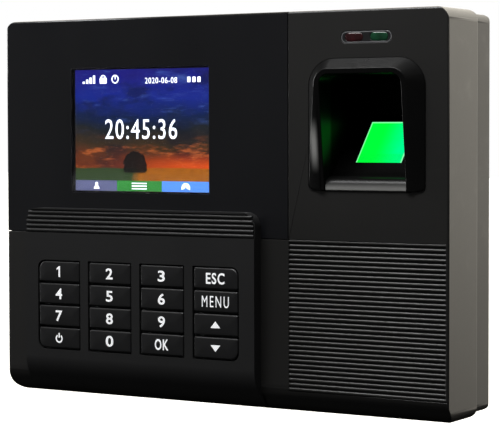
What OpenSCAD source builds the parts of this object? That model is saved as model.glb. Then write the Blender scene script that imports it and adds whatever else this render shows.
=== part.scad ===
// Wall-mounted fingerprint terminal: colour display, sixteen-key pad, optical finger sensor.
// X runs to the right as the user sees it, Y runs into the wall, Z runs up.
// The origin is the centre of the wall-screw pattern, on the back face of the wall plate.

/* [Case] */
// Overall width
case_w = 180; // [180:1:230]
// Overall height
case_h = 136; // [136:1:180]
// Depth from the wall to the front face
case_d = 36; // [36:1:46]
// Depth of the front shell, which carries everything but the back panel
front_d = 23; // [22.5:0.5:24]
// Radius of the four corners seen from the front
corner_r = 4.5; // [3:0.5:6]
// Side wall of the front shell
wall = 2.6; // [2.2:0.1:3]
// Front wall of the front shell
face_t = 2.4; // [2:0.1:2.6]
// Fillet between the front face and the sides
edge_r = 0.9; // [0.5:0.1:1.5]
// Radius of the curve under the front face
foot_r = 10; // [8:0.5:10]
// Step from the front shell in to the rear shell
rear_step = 1.2; // [0.8:0.1:1.4]
// Side wall of the rear shell
rear_wall = 2; // [1.6:0.1:2.4]

/* [Display] */
// Width of the display cover, from the left edge to the upright seam
cover_w = 120; // [112:1:120]
// Height of the display cover, from the top edge to the level seam
cover_h = 76.6; // [72:0.1:80]
// Thickness of the display cover
cover_t = 2.1; // [1.9:0.1:2.2]
// Visible width of the display
screen_w = 57.6; // [48:0.1:69]
// Visible height of the display
screen_h = 43.2; // [36:0.1:50]
// From the left edge of the case to the middle of the display
screen_x = 59; // [58:0.1:62]
// From the top edge of the case to the middle of the display
screen_z = 39.8; // [38:0.1:41]

/* [Key pad] */
// Width of the raised key panel
pad_w = 97.4; // [97:0.1:99]
// Height of the raised key panel
pad_h = 68.2; // [66:0.1:70]
// From the left edge of the case to the key panel
pad_x = 12; // [10:0.1:12]
// How far the key panel stands out of the front face
pad_rise = 4.5; // [4:0.1:6]
// Wall of the key panel
pad_wall = 2; // [1.6:0.1:2]
// Width of a key
key_w = 18; // [14:0.1:18.4]
// Height of a key
key_h = 7.45; // [6:0.05:7.6]
// Column pitch of the keys
key_pitch_x = 22.3; // [22:0.05:22.5]
// Row pitch of the keys
key_pitch_z = 8; // [8:0.05:8.2]
// Stroke of a key
key_travel = 1; // [0.6:0.1:1.2]
// How far a key stands out of its panel
key_proud = 0.1; // [0.1:0.1:0.6]

/* [Finger sensor] */
// Clear width of the finger well
well_w = 30.4; // [26:0.2:32]
// Clear height of the finger well at its mouth
well_h = 38.6; // [37:0.2:40]
// From the right edge of the case to the middle of the well
well_x = 30; // [30:0.1:34]
// From the top edge of the case to the ceiling of the well
well_z = 21.4; // [21:0.1:24]
// How far the hood stands out at its top
hood_rise = 5.6; // [4:0.1:6.5]
// Width of the glass finger window
glass_w = 17; // [14:0.1:18]
// Lean of the glass finger window from upright
glass_tilt = 41; // [38:1:42]

/* [Ribs] */
// Pitch of the decorative ribs
rib_pitch = 1.62; // [1.5:0.01:1.8]
// Number of ribs right of the key panel
rib_count = 32; // [20:1:32]
// Depth of the grooves between the ribs
rib_depth = 0.7; // [0.4:0.1:0.8]

/* [Wall plate] */
// Width of the wall plate
plate_w = 140; // [130:1:150]
// Sheet thickness of the wall plate
plate_t = 1.5; // [1.2:0.1:2]
// Level spacing of the wall screws
hole_dx = 100; // [90:1:110]
// Upright spacing of the wall screws
hole_dz = 60; // [50:1:66]
// Radius of a wall-screw hole
hole_r = 2.25; // [1.75:0.05:2.75]

/* [Fits] */
// Gap of the seams between covers and shells
seam_gap = 0.3; // [0.2:0.05:0.4]
// Clearance between parts that are fitted and screwed together
fit = 0.1; // [0.05:0.01:0.15]
// Clearance between a key and its window
key_gap = 0.45; // [0.25:0.05:0.5]
// Clearance between a screw's thread and its hole
thread_gap = 0.05; // [0.03:0.01:0.08]

/* [Hidden] */
$fn = 48;
EPS = 0.01;

// Planes of the case. A depth p is counted from the front face towards the wall.
x_left = -case_w / 2;
x_right = case_w / 2;
z_bot = -case_h / 2;
z_top = case_h / 2;
y_front = -case_d;
seam_p = front_d;
wall_air = 0.6;
rear_edge_p = case_d - wall_air;
shell_rear_r = 1.5;
case_fn = 64;

// Rear shell planes
panel_out = 4;
panel_t = 2;
panel_out_p = case_d - panel_out;
panel_in_p = panel_out_p - panel_t;
tongue_t = 1.4;
tongue_len = 2.5;
tongue_gap = 0.2;
rear_edge_r = 2;

// Display
seam_x = x_left + cover_w;
seam_z = z_top - cover_h;
cover_step = 2.3;
sub_face_p = 4.5;
scr_x = x_left + screen_x;
scr_z = z_top - screen_z;
window_rim = 0.6;
window_t = 1;
window_sink = 0.05;
window_corner = 0.5;
lcd_w = screen_w + 11.6;
lcd_h = screen_h + 6.8;
lcd_p = 1.4;
lcd_t = 3.8;
lcd_hole_gap = 0.3;
frame_rim = 4.4;
frame_hold = 5;
frame_t = 2;
frame_screw_in = 2;
frame_hole_p = cover_step + 0.4;

// Key panel
pad_x0 = x_left + pad_x;
pad_x1 = pad_x0 + pad_w;
pad_z1 = z_bot + pad_h;
pad_corner = 5;
pad_foot_p = 5;
key_rows = 4;
key_cols = 4;
field_x = pad_x0 + 48.4;
field_z = z_bot + 33.32;
window_w = key_w + 2 * key_gap;
window_h = (key_rows - 1) * key_pitch_z + key_h + 2 * key_gap;
window_r = 3;
key_r = 0.5;
pad_in_p = pad_wall - pad_rise;
ear_gap = 0.15;
ear_t = 1;
ear_w = 1.05;
key_back_p = pad_in_p + ear_gap + ear_t;
stem_r = 1.6;
stem_len = 0.6;
stem_p = key_back_p + stem_len;
dome_gap = 0.25;
dome_foot_r = 3;
dome_top_r = 2;
dome_p = stem_p + key_travel + dome_gap;
mat_w = 3 * key_pitch_x + key_w + 3.5;
mat_h = window_h + 3.2;
mat_t = 0.9;
mat_p = face_t - mat_t;
post_r = 1.7;
post_dx = 40.3;
post_dz = window_h / 2 + 3.8;
board_t = 1.6;
flex_t = 0.3;
pad_hole_w = pad_w - 5.6;
pad_hole_z0 = field_z - post_dz - 2;
pad_hole_z1 = field_z + post_dz + 2.1;
pad_board_over = 1.2;
pad_mid = (pad_x0 + pad_x1) / 2;

// Finger well: a slanting shaft whose glass floor leans back by glass_tilt
well_mid = x_right - well_x;
well_x0 = well_mid - well_w / 2;
well_x1 = well_mid + well_w / 2;
well_z1 = z_top - well_z;
well_z0 = well_z1 - well_h;
guide_wall = 1.6;
well_corner = 3.5;
glass_p0 = 8;
glass_z0 = well_z0 + 9;
glass_len = 19.3;
glass_hold = 0.6;
glass_p1 = glass_p0 + glass_len * sin(glass_tilt);
glass_z1 = glass_z0 + glass_len * cos(glass_tilt);
shelf = 1.6;
well_back_p = glass_p1 + shelf;
lip_r = 3.6;
lip_out = 0.6;
lip_up = 1;
lip_p = lip_r - lip_out;
rim_t = 2.1;
rim_low = 1;
base_out = 4.5;
base_up = 3.3;
hood_r = 9.5;
rim_lean = atan((hood_rise - rim_low) / (well_h + rim_t));
guide_low = 1.8;

// Sensor module behind the glass
prism_back_p = glass_p1;
module_x0 = well_mid - glass_w / 2 - 2.6;
module_x1 = well_mid + glass_w / 2 + 2.6;
module_p0 = glass_p0 + 4;
module_p1 = prism_back_p + 6.2;
module_z0 = well_z0 - 2;
lens_z = (glass_z0 + glass_z1) / 2;
lens_r = 3.9;
sensor_board_p = module_p1 + fit;
sensor_board_t = 1.2;
sensor_screw_x = glass_w / 2 + 1.2;
sensor_screw_z = module_z0 + 4;

// Status lights above the well
led_z = z_top - 9.2;
led_w = 18.8;
led_h = 3.8;
led_t = 3;
led_step = 4.65;
lens_w = 6.6;
lens_h = 2.9;
lamp_r = 1.5;
lamp_len = 2.6;
lamp_air = 0.2;
lamp_board_p = led_t + lamp_air + lamp_len;

// Ribs
rib_z0 = z_bot + 8.45;
rib_x0 = seam_x + 0.4;
rib_r = 0.66;
rib_sink = 0.05;
rib_root = 0.2;
pad_rib_count = 5;
pad_rib_drop = 1.6;

// Main board
board_p = 17;
board_back_p = board_p + board_t;
board_x0 = x_left + wall + 1.4;
board_x1 = x_right - wall - 1.4;
board_z0 = z_bot + 14;
board_z1 = z_top - 16;
board_step_x = well_x0 - guide_wall - 7.2;
board_step_z = well_z0 - 10;
usb_mid = x_right - 37.45;
usb_w = 13.1;
usb_t = 7.1;
usb_gap = 0.5;
usb_z1 = z_bot + 15;
usb_z0 = z_bot + 1.4;
board_posts = [[x_left + 8, z_bot + 20], [x_left + 8, z_bot + 88], [seam_x - 6, z_bot + 20],
               [seam_x - 6, z_top - 28], [x_right - 8, z_bot + 20], [x_right - 8, z_bot + 60]];
board_post_r = 2.6;

// Corner posts and their screws
post_in = 9;
corner_posts = [for (sx = [-1, 1], sz = [-1, 1])
    [sx * (case_w / 2 - post_in), sz * (case_h / 2 - post_in)]];
corner_post_r = 3.5;
rear_post_r = 4.2;
case_screw_r = 1.45;
case_head_r = 2.7;
case_head_t = 2;
case_screw_len = 14;
case_hole_p = 9;
counterbore_r = 3;
head_seat_p = case_d - 8.2;

// Small screws
small_r = 1;
small_head_r = 1.9;
small_head_t = 1.2;
small_len = 5;

// Cross slots of the screws: half width, reach as a share of the head, depth as a share of the head
slot_half = 0.3;
slot_share = 0.65;
slot_depth = 0.5;

// Service window, connectors and wall plate
service_w = 76;
service_z0 = z_bot + 12;
service_z1 = z_bot + 48;
plug_z = service_z1 - 2;
plate_z1 = z_top - 18;
plate_z0 = z_bot + 10;
hook_x = 45;
hook_z = z_top - 30;
hook_w = 10;
hook_up = 5.5;
hook_in = 0.4;
hook_reach = panel_out + panel_t + hook_in + plate_t;
lock_y = -7.5;
lock_tab_w = 18;
lock_tab_z = z_bot + 6.5;
lock_tab_reach = 11;
lock_head_t = 2;

// Speaker and tamper switch
speaker_x = x_right - 30;
speaker_z = z_bot + 36;
speaker_r = 14;
speaker_pad_t = 0.8;
speaker_t = 4.6;
magnet_r = 8;
magnet_t = 2.4;
grille_r = 1;
grille_pitch = 3.6;
tamper_z = z_top - 24;
tamper_travel = 1.2;
tamper_r = 1.5;
tamper_air = 0.3;
tamper_flange_y = -9.4;
tamper_flange_t = 1;
tamper_body_y = tamper_flange_y - tamper_travel - 0.3;

// ---------------------------------------------------------------- shared shapes

// Upright outline with a radius at each corner: lower left, lower right, upper right, upper left
module rounded(x0, z0, x1, z1, r) {
    q = is_list(r) ? r : [r, r, r, r];
    polygon([[x0 + q[0], z0], [x1 - q[1], z0], [x1, z0 + q[1]], [x1, z1 - q[2]],
             [x1 - q[2], z1], [x0 + q[3], z1], [x0, z1 - q[3]], [x0, z0 + q[0]]]);
    translate([x0 + q[0], z0 + q[0]]) circle(q[0]);
    translate([x1 - q[1], z0 + q[1]]) circle(q[1]);
    translate([x1 - q[2], z1 - q[2]]) circle(q[2]);
    translate([x0 + q[3], z1 - q[3]]) circle(q[3]);
}

// Plate between two depths, with its outline drawn as seen from the front
module slab(p0, p1) {
    translate([0, y_front + p1, 0]) rotate([90, 0, 0]) linear_extrude(p1 - p0) children();
}

// Bar between two X values, with its outline drawn as depth and height
module bar_x(x0, x1) {
    translate([x0, y_front, 0]) rotate([90, 0, 90]) linear_extrude(x1 - x0) children();
}

// Upright column between two Z values, with its outline drawn as X and depth
module column_z(z0, z1) {
    translate([0, y_front, z0]) linear_extrude(z1 - z0) children();
}

// Box given by its low and high corners, as X, depth and Z
module block(a, b) {
    translate([a[0], y_front + a[1], a[2]]) cube(b - a);
}

// Round rod along Y between two depths
module rod_y(x, z, r, p0, p1) {
    translate([x, y_front + p1, z]) rotate([90, 0, 0]) cylinder(r = r, h = p1 - p0);
}

// Round rod along Z
module rod_z(x, y, r, z0, z1) {
    translate([x, y, z0]) cylinder(r = r, h = z1 - z0);
}

// Rib bar along X whose crest reaches the depth p
module rib(x0, x1, z, p) {
    translate([x0, y_front + p + rib_r, z]) rotate([0, 90, 0]) cylinder(r = rib_r, h = x1 - x0, $fn = 24);
}

// Screw along Y with its head towards the wall, shank starting at the depth p
module screw_y(x, z, r, head_r, head_t, len, p) {
    slot_reach = head_r * slot_share;
    difference() {
        union() {
            rod_y(x, z, r, p - len, p);
            rod_y(x, z, head_r, p, p + head_t);
        }
        block([x - slot_reach, p + head_t * slot_depth, z - slot_half],
              [x + slot_reach, p + head_t + EPS, z + slot_half]);
        block([x - slot_half, p + head_t * slot_depth, z - slot_reach],
              [x + slot_half, p + head_t + EPS, z + slot_reach]);
    }
}

// ---------------------------------------------------------------- case

// Side outline of the front shell: small fillet on top, large curve under the front face
module front_profile() {
    rounded(0, z_bot, seam_p, z_top, [foot_r, shell_rear_r, shell_rear_r, edge_r]);
}

// Solid outer form of the front shell
module front_form() {
    intersection() {
        slab(0, seam_p) rounded(x_left, z_bot, x_right, z_top, corner_r, $fn = case_fn);
        bar_x(x_left, x_right) front_profile();
        column_z(z_bot, z_top)
            rounded(x_left, 0, x_right, seam_p, [edge_r, edge_r, shell_rear_r, shell_rear_r]);
    }
}

// Inner space of the front shell from the depth p to its open back
module front_space(p) {
    intersection() {
        slab(p, seam_p + 1)
            rounded(x_left + wall, z_bot + wall, x_right - wall, z_top - wall, corner_r - 2);
        bar_x(x_left, x_right)
            rounded(face_t, z_bot + wall, seam_p + 1, z_top - wall, [foot_r - wall, 0.2, 0.2, 0.2]);
    }
}

// Area of the display cover, grown by g along its two seams
module cover_area(g) {
    translate([x_left - 1, seam_z - g]) square([cover_w + 1 + g, cover_h + 1 + g]);
}

// Opening in the front shell round the finger guide, grown by g
module well_opening(g) {
    rounded(well_x0 - guide_wall - g, well_z0 - g, well_x1 + guide_wall + g,
            well_z1 + guide_wall + g, [0.1, 0.1, well_corner + guide_wall, well_corner + guide_wall]);
}

// Depth at which a post standing on c meets the front wall, which is sunk behind the display cover
function post_root(c) = c[1] > seam_z && c[0] < seam_x ? sub_face_p - 1 : face_t - 1;

module front_shell() {
    color("#26262a") difference() {
        union() {
            difference() {
                front_form();
                slab(-1, cover_step) cover_area(seam_gap);
                difference() {
                    front_space(face_t);
                    slab(face_t - 1, sub_face_p) cover_area(wall);
                }
                slab(-1, rib_depth) translate([rib_x0, rib_z0 - rib_r])
                    square([x_right - edge_r - rib_x0, (rib_count - 1) * rib_pitch + 2 * rib_r]);
            }
            for (i = [0:rib_count - 1])
                rib(rib_x0 - rib_root, x_right - edge_r + rib_root, rib_z0 + i * rib_pitch, rib_sink);
            for (c = corner_posts)
                rod_y(c[0], c[1], corner_post_r, post_root(c), seam_p);
            for (b = board_posts)
                rod_y(b[0], b[1], board_post_r, post_root(b), board_p);
        }
        for (c = corner_posts)
            rod_y(c[0], c[1], case_screw_r + thread_gap, case_hole_p, seam_p + 1);
        for (b = board_posts)
            rod_y(b[0], b[1], small_r + thread_gap, board_p - small_len - 1, board_p + 1);
        slab(-1, sub_face_p + 1) around_lcd(lcd_hole_gap, 1);
        for (sx = [-1, 1], sz = [-1, 1])
            rod_y(scr_x + sx * (lcd_w / 2 + frame_screw_in), scr_z + sz * (lcd_h / 2 + frame_screw_in),
                  small_r + thread_gap, frame_hole_p, sub_face_p + 1);
        slab(-1, face_t + 1)
            rounded(pad_mid - pad_hole_w / 2, pad_hole_z0, pad_mid + pad_hole_w / 2, pad_hole_z1, 2);
        slab(-1, face_t + 1) well_opening(fit);
        slab(-1, face_t + 1)
            rounded(well_mid - led_w / 2 - fit, led_z - led_h / 2 - fit,
                    well_mid + led_w / 2 + fit, led_z + led_h / 2 + fit, led_h / 2);
        slab(board_p - usb_t - usb_gap, board_p + usb_gap)
            translate([usb_mid - usb_w / 2 - usb_gap, z_bot - 1])
                square([usb_w + 2 * usb_gap, wall + 2]);
    }
}

// Outline round the visible display, grown by g
module around_screen(g, r) {
    rounded(scr_x - screen_w / 2 - g, scr_z - screen_h / 2 - g,
            scr_x + screen_w / 2 + g, scr_z + screen_h / 2 + g, r);
}

// Outline round the display module, grown by g
module around_lcd(g, r) {
    rounded(scr_x - lcd_w / 2 - g, scr_z - lcd_h / 2 - g, scr_x + lcd_w / 2 + g, scr_z + lcd_h / 2 + g, r);
}

module display_cover() {
    color("#17171b") difference() {
        intersection() {
            front_form();
            slab(-1, cover_t) cover_area(0);
        }
        slab(-1, cover_t + 1) around_screen(window_rim + fit, window_corner + fit);
        slab(lcd_p - 0.2, cover_t + 1) around_lcd(lcd_hole_gap, 1);
    }
}

module screen_window() {
    color("#8fa3b8", 0.4) slab(window_sink, window_sink + window_t)
        around_screen(window_rim, window_corner);
}

module lcd_panel() {
    color("#3a4a78") slab(lcd_p, lcd_p + lcd_t)
        around_lcd(0, 0.6);
}

// Plastic frame that presses the display into its opening from behind
module lcd_frame() {
    color("#5a5f66") difference() {
        slab(sub_face_p, sub_face_p + frame_t)
            around_lcd(frame_rim, 2);
        slab(sub_face_p - 1, lcd_p + lcd_t + fit)
            around_lcd(fit, 0.7);
        slab(sub_face_p - 1, sub_face_p + frame_t + 1)
            around_lcd(-frame_hold, 2);
        for (sx = [-1, 1], sz = [-1, 1])
            rod_y(scr_x + sx * (lcd_w / 2 + frame_screw_in), scr_z + sz * (lcd_h / 2 + frame_screw_in),
                  small_r + fit, sub_face_p - 1, sub_face_p + frame_t + 1);
    }
}

// Flat ribbon bent through a list of depth and height points
module ribbon(x0, x1, pts, t) {
    n = len(pts);
    bar_x(x0, x1) polygon(concat(pts, [for (i = [n - 1:-1:0]) pts[i] + [t, t * 0.4]]));
}

module lcd_flex() {
    p0 = lcd_p + lcd_t;
    color("#b8742c") ribbon(scr_x - 11, scr_x + 11,
        [[p0 + fit, scr_z], [p0 + 2.6, scr_z - 6], [p0 + 7, scr_z - 9], [board_p - 0.6, scr_z - 12]], flex_t);
}

// ---------------------------------------------------------------- key pad

function col_x(c) = field_x + (c - (key_cols - 1) / 2) * key_pitch_x;
function row_z(r) = field_z + ((key_rows - 1) / 2 - r) * key_pitch_z;
function outer_left(c, r) = c == 0 ? r : key_r;
function outer_right(c, r) = c == key_cols - 1 ? r : key_r;

// Front outline of the key panel; its foot is cut level with the bottom of the case
module pad_outline(d) {
    rounded(pad_x0 + d, z_bot + (d > 0 ? foot_r : 0), pad_x1 - d, pad_z1 - d,
            [0.5, 0.5, pad_corner - d, pad_corner - d]);
}

// Side outline of the key panel: its foot curves in to meet the bottom of the front shell
module pad_profile() {
    big = foot_r + pad_rise;
    difference() {
        union() {
            translate([-pad_rise, z_bot + big]) square([big, case_h]);
            intersection() {
                translate([foot_r, z_bot + big]) circle(big, $fn = 128);
                translate([-pad_rise, z_bot]) square([pad_rise + pad_foot_p, big + EPS]);
            }
        }
        translate([0, z_bot + foot_r]) square([foot_r + 1, case_h]);
        translate([foot_r, z_bot + foot_r]) circle(foot_r, $fn = case_fn);
    }
}

module keypad_cover() {
    color("#1d1d20") difference() {
        intersection() {
            slab(-pad_rise, foot_r) pad_outline(0);
            bar_x(pad_x0, pad_x1) pad_profile();
            union() {
                difference() {
                    slab(-pad_rise, foot_r) pad_outline(0);
                    slab(pad_in_p, foot_r) pad_outline(pad_wall);
                    slab(-pad_rise - 1, rib_depth - pad_rise)
                        translate([pad_x0 - 1, pad_z1 - pad_rib_drop - (pad_rib_count - 0.5) * rib_pitch])
                            square([pad_w + 2, pad_rib_count * rib_pitch]);
                }
                intersection() {
                    slab(-pad_rise, 0) pad_outline(0.4);
                    for (i = [0:pad_rib_count - 1])
                        rib(pad_x0, pad_x1, pad_z1 - pad_rib_drop - i * rib_pitch, -pad_rise);
                }
                for (sx = [-1, 0, 1], sz = [-1, 1])
                    rod_y(field_x + sx * post_dx, field_z + sz * post_dz, post_r, pad_in_p - 1, 0);
            }
        }
        for (c = [0:key_cols - 1])
            slab(-pad_rise - 1, 1)
                rounded(col_x(c) - window_w / 2, field_z - window_h / 2,
                        col_x(c) + window_w / 2, field_z + window_h / 2,
                        [outer_left(c, window_r), outer_right(c, window_r),
                         outer_right(c, window_r), outer_left(c, window_r)]);
        for (sx = [-1, 0, 1], sz = [-1, 1])
            rod_y(field_x + sx * post_dx, field_z + sz * post_dz, small_r + thread_gap, pad_in_p + 0.6, 1);
    }
    color("#1d1d20") for (sx = [-1, 0, 1], sz = [-1, 1]) difference() {
        rod_y(field_x + sx * post_dx, field_z + sz * post_dz, post_r, 0, face_t);
        rod_y(field_x + sx * post_dx, field_z + sz * post_dz, small_r + thread_gap, -1, face_t + 1);
    }
}

// One key: cap, side ears that keep it in its window, and the stem over its dome
module key_cap(c, r) {
    low = r == key_rows - 1 ? window_r - key_gap : key_r;
    high = r == 0 ? window_r - key_gap : key_r;
    x = col_x(c);
    z = row_z(r);
    color("#19191c") {
        slab(-pad_rise - key_proud, key_back_p)
            rounded(x - key_w / 2, z - key_h / 2, x + key_w / 2, z + key_h / 2,
                    [outer_left(c, low), outer_right(c, low), outer_right(c, high), outer_left(c, high)]);
        block([x - window_w / 2 - ear_w, key_back_p - ear_t, z - key_h / 2 + 1],
              [x + window_w / 2 + ear_w, key_back_p, z + key_h / 2 - 1]);
        rod_y(x, z, stem_r, key_back_p - EPS, stem_p);
    }
}

module keypad_mat() {
    color("#8a8d90") {
        slab(mat_p, face_t)
            rounded(field_x - mat_w / 2, field_z - mat_h / 2, field_x + mat_w / 2, field_z + mat_h / 2, 1.5);
        for (c = [0:key_cols - 1], r = [0:key_rows - 1])
            translate([col_x(c), y_front + mat_p + EPS, row_z(r)]) rotate([90, 0, 0])
                cylinder(r1 = dome_foot_r, r2 = dome_top_r, h = mat_p - dome_p + EPS);
    }
}

module keypad_pcb() {
    color("#1f6b3a") difference() {
        slab(face_t, face_t + board_t)
            rounded(pad_mid - pad_hole_w / 2 - pad_board_over, pad_hole_z0 - pad_board_over,
                    pad_mid + pad_hole_w / 2 + pad_board_over, pad_hole_z1 + pad_board_over, 2);
        for (sx = [-1, 0, 1], sz = [-1, 1])
            rod_y(field_x + sx * post_dx, field_z + sz * post_dz, small_r + fit,
                  face_t - 1, face_t + board_t + 1);
    }
}

module keypad_flex() {
    p0 = face_t + board_t;
    color("#b8742c") ribbon(field_x - 8, field_x + 8,
        [[p0 + fit, field_z + 8], [p0 + 3, field_z + 3], [board_p - 4, field_z + 1],
         [board_p - 0.6, field_z - 4]], flex_t);
}

// ---------------------------------------------------------------- finger sensor

// Side outline of the free shaft above the finger glass
module shaft_profile() {
    polygon([[-20, well_z0], [lip_p, well_z0], [lip_p, well_z0 + lip_up + lip_r - 0.3],
             [glass_p0 - 1.2, glass_z0 - 1.4], [glass_p0, glass_z0], [glass_p1, glass_z1],
             [well_back_p, glass_z1 + shelf], [well_back_p, well_z1], [-20, well_z1]]);
}

// Side outline of the guide's body behind the front face; below the mouth a flange lies behind the wall
module guide_profile() {
    w = guide_wall;
    flange_p = face_t + fit;
    polygon([[0, well_z0], [flange_p, well_z0], [flange_p, well_z0 - guide_low],
             [lip_p, well_z0 - guide_low], [glass_p0 + w, glass_z0 - 2 * w],
             [glass_p1 + w, glass_z1 - w], [well_back_p + w, glass_z1 + shelf - w],
             [well_back_p + w, well_z1 + w], [0, well_z1 + w]]);
}

// Lip round the mouth, leaning back towards its foot
module rim_plate() {
    translate([0, y_front - rim_low, well_z0])
        rotate([rim_lean, 0, 0])
            translate([0, -y_front, -well_z0])
                slab(0, 0.3)
                    rounded(well_x0 - rim_t, well_z0, well_x1 + rim_t, well_z1 + rim_t,
                            [1, 1, well_corner + rim_t, well_corner + rim_t], $fn = 32);
}

module hood() {
    hull() {
        slab(-0.1, 0)
            rounded(well_x0 - rim_t - base_out, well_z0, well_x1 + rim_t + base_out,
                    well_z1 + rim_t + base_up, [2, 2, hood_r, hood_r], $fn = 32);
        rim_plate();
    }
}

// A block aligned with the leaning glass, from its lower edge, with a depth behind its face
module on_glass(x0, x1, s0, s1, t0, t1) {
    translate([x0, y_front + glass_p0, glass_z0]) rotate([-glass_tilt, 0, 0])
        translate([0, t0, s0]) cube([x1 - x0, t1 - t0, s1 - s0]);
}

module finger_guide() {
    color("#202024") union() {
        difference() {
            union() {
                hood();
                bar_x(well_x0 - guide_wall, well_x1 + guide_wall) guide_profile();
            }
            intersection() {
                bar_x(well_x0, well_x1) shaft_profile();
                slab(-20, well_back_p + 1) rounded(well_x0, well_z0 - 1, well_x1, well_z1,
                    [0.5, 0.5, well_corner, well_corner]);
            }
            on_glass(well_mid - glass_w / 2 - fit, well_mid + glass_w / 2 + fit,
                     glass_hold, glass_len - glass_hold, -1, 6);
            difference() {
                slab(0, well_back_p + 3)
                    rounded(well_x0 - 5, well_z1 - 3, well_x1 + 5, well_z1 + 6, 0.1);
                slab(-1, well_back_p + 4) well_opening(0);
            }
        }
        bar_x(well_x0, well_x1) intersection() {
            translate([lip_p, well_z0 + lip_up]) circle(lip_r);
            translate([-5, well_z0]) square([20, 20]);
        }
    }
}

// Prism whose leaning face is the finger window
module finger_glass() {
    s0 = glass_hold + fit;
    s1 = glass_len - glass_hold - fit;
    a = [glass_p0 + s0 * sin(glass_tilt) + 0.2, glass_z0 + s0 * cos(glass_tilt) - 0.2];
    b = [glass_p0 + s1 * sin(glass_tilt) + 0.2, glass_z0 + s1 * cos(glass_tilt) - 0.2];
    color("#2fe36a", 0.8) bar_x(well_mid - glass_w / 2, well_mid + glass_w / 2)
        polygon([a, b, [b[0], a[1] - 0.5], [a[0] + 0.6, a[1] - 0.5]]);
}

module sensor_housing() {
    g = 0.15;
    top_z = glass_z1 + shelf - guide_wall - g;
    slope = cos(glass_tilt) / sin(glass_tilt);
    base_z = glass_z0 - 2 * guide_wall + (module_p0 - glass_p0 - guide_wall) * slope - g * 3;
    color("#101012") difference() {
        bar_x(module_x0, module_x1)
            polygon([[module_p0, module_z0], [module_p1, module_z0], [module_p1, top_z],
                     [well_back_p + guide_wall + g, top_z],
                     [glass_p1 + guide_wall, glass_z1 - guide_wall - 3 * g], [module_p0, base_z]]);
        bar_x(well_mid - glass_w / 2 - fit, well_mid + glass_w / 2 + fit)
            polygon([[glass_p0 + 0.4, glass_z0 - 1], [prism_back_p + fit, glass_z0 - 1],
                     [prism_back_p + fit, glass_z1 + 2], [glass_p0 + 0.4, glass_z1 + 2]]);
        rod_y(well_mid, lens_z, lens_r + fit, prism_back_p - 1, module_p1 + 1);
        block([module_x0 + 2, module_p0 + 2, module_z0 + 2],
              [module_x1 - 2, module_p1 - 2, glass_z0 - 2.5]);
        for (sx = [-1, 1])
            rod_y(well_mid + sx * sensor_screw_x, sensor_screw_z, small_r + thread_gap,
                  module_p1 - small_len, module_p1 + 1);
    }
}

module sensor_lens() {
    color("#2a2a2e") difference() {
        rod_y(well_mid, lens_z, lens_r, prism_back_p + 0.6, module_p1);
        rod_y(well_mid, lens_z, lens_r - 1.2, prism_back_p, prism_back_p + 1.6);
    }
}

module sensor_pcb() {
    color("#1f6b3a") difference() {
        slab(sensor_board_p, sensor_board_p + sensor_board_t)
            rounded(module_x0 - 1.5, module_z0, module_x1 + 1.5, glass_z1 + 2, 1);
        for (sx = [-1, 1])
            rod_y(well_mid + sx * sensor_screw_x, sensor_screw_z, small_r + fit,
                  sensor_board_p - 1, sensor_board_p + 3);
    }
}

module sensor_cable() {
    p0 = sensor_board_p + sensor_board_t;
    color("#3c3c40") ribbon(well_mid - 6, well_mid + 6,
        [[p0 + fit, module_z0 + 6], [p0 + fit, module_z0 - 2], [board_back_p + 3, module_z0 - 9],
         [board_back_p + 0.2, module_z0 - 14]], 0.5);
}

// ---------------------------------------------------------------- status lights

module led_bezel() {
    color("#6c6c72") difference() {
        slab(0.1, led_t)
            rounded(well_mid - led_w / 2, led_z - led_h / 2,
                    well_mid + led_w / 2, led_z + led_h / 2, led_h / 2);
        for (s = [-1, 1])
            slab(-1, led_t + 1)
                rounded(well_mid + s * led_step - lens_w / 2 - fit / 2, led_z - lens_h / 2 - fit / 2,
                        well_mid + s * led_step + lens_w / 2 + fit / 2, led_z + lens_h / 2 + fit / 2,
                        lens_h / 2);
    }
}

module led_lens(s, tint) {
    color(tint) slab(0, led_t)
        rounded(well_mid + s * led_step - lens_w / 2, led_z - lens_h / 2,
                well_mid + s * led_step + lens_w / 2, led_z + lens_h / 2, lens_h / 2 - 0.05);
}

module indicator_leds() {
    color("#e8e8e8") for (s = [-1, 1])
        rod_y(well_mid + s * led_step, led_z, lamp_r, led_t + lamp_air, lamp_board_p);
}

module indicator_board() {
    color("#1f6b3a") slab(lamp_board_p, lamp_board_p + 1)
        rounded(well_mid - led_w / 2 - 1, led_z - 4.5, well_mid + led_w / 2 + 1, led_z + 4.5, 1);
}

// ---------------------------------------------------------------- electronics

module main_pcb() {
    color("#17582f") difference() {
        slab(board_p, board_back_p) union() {
            translate([board_x0, board_z0]) square([board_x1 - board_x0, board_step_z - board_z0]);
            translate([board_x0, board_z0]) square([board_step_x - board_x0, board_z1 - board_z0]);
            translate([usb_mid - usb_w, z_bot + 6]) square([2 * usb_w, board_z0 - z_bot]);
        }
        for (b = board_posts)
            rod_y(b[0], b[1], small_r + fit, board_p - 1, board_back_p + 1);
    }
}

// Part soldered on the back of the main board, h tall
module on_board(x0, z0, x1, z1, h, r = 0.4) {
    slab(board_back_p, board_back_p + h) rounded(x0, z0, x1, z1, r);
}

module processor_shield() {
    color("#b9bcc0") on_board(scr_x + 2, scr_z - 22, scr_x + 34, scr_z + 6, 2.4);
}

module memory_chips() {
    color("#1a1a1a") for (i = [0:2])
        on_board(scr_x - 14, scr_z - 22 + i * 10, scr_x - 4, scr_z - 14 + i * 10, 1.2);
}

module board_capacitors() {
    color("#33363d") for (i = [0:2])
        rod_y(x_left + 20 + i * 9, z_bot + 60, 3.1, board_back_p, board_back_p + 7.7);
}

module battery_holder() {
    color("#e6e2d6") difference() {
        rod_y(x_left + 26, z_top - 40, 11.6, board_back_p, board_back_p + 4.2);
        rod_y(x_left + 26, z_top - 40, 10.2, board_back_p + 0.9, board_back_p + 5);
    }
}

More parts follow.
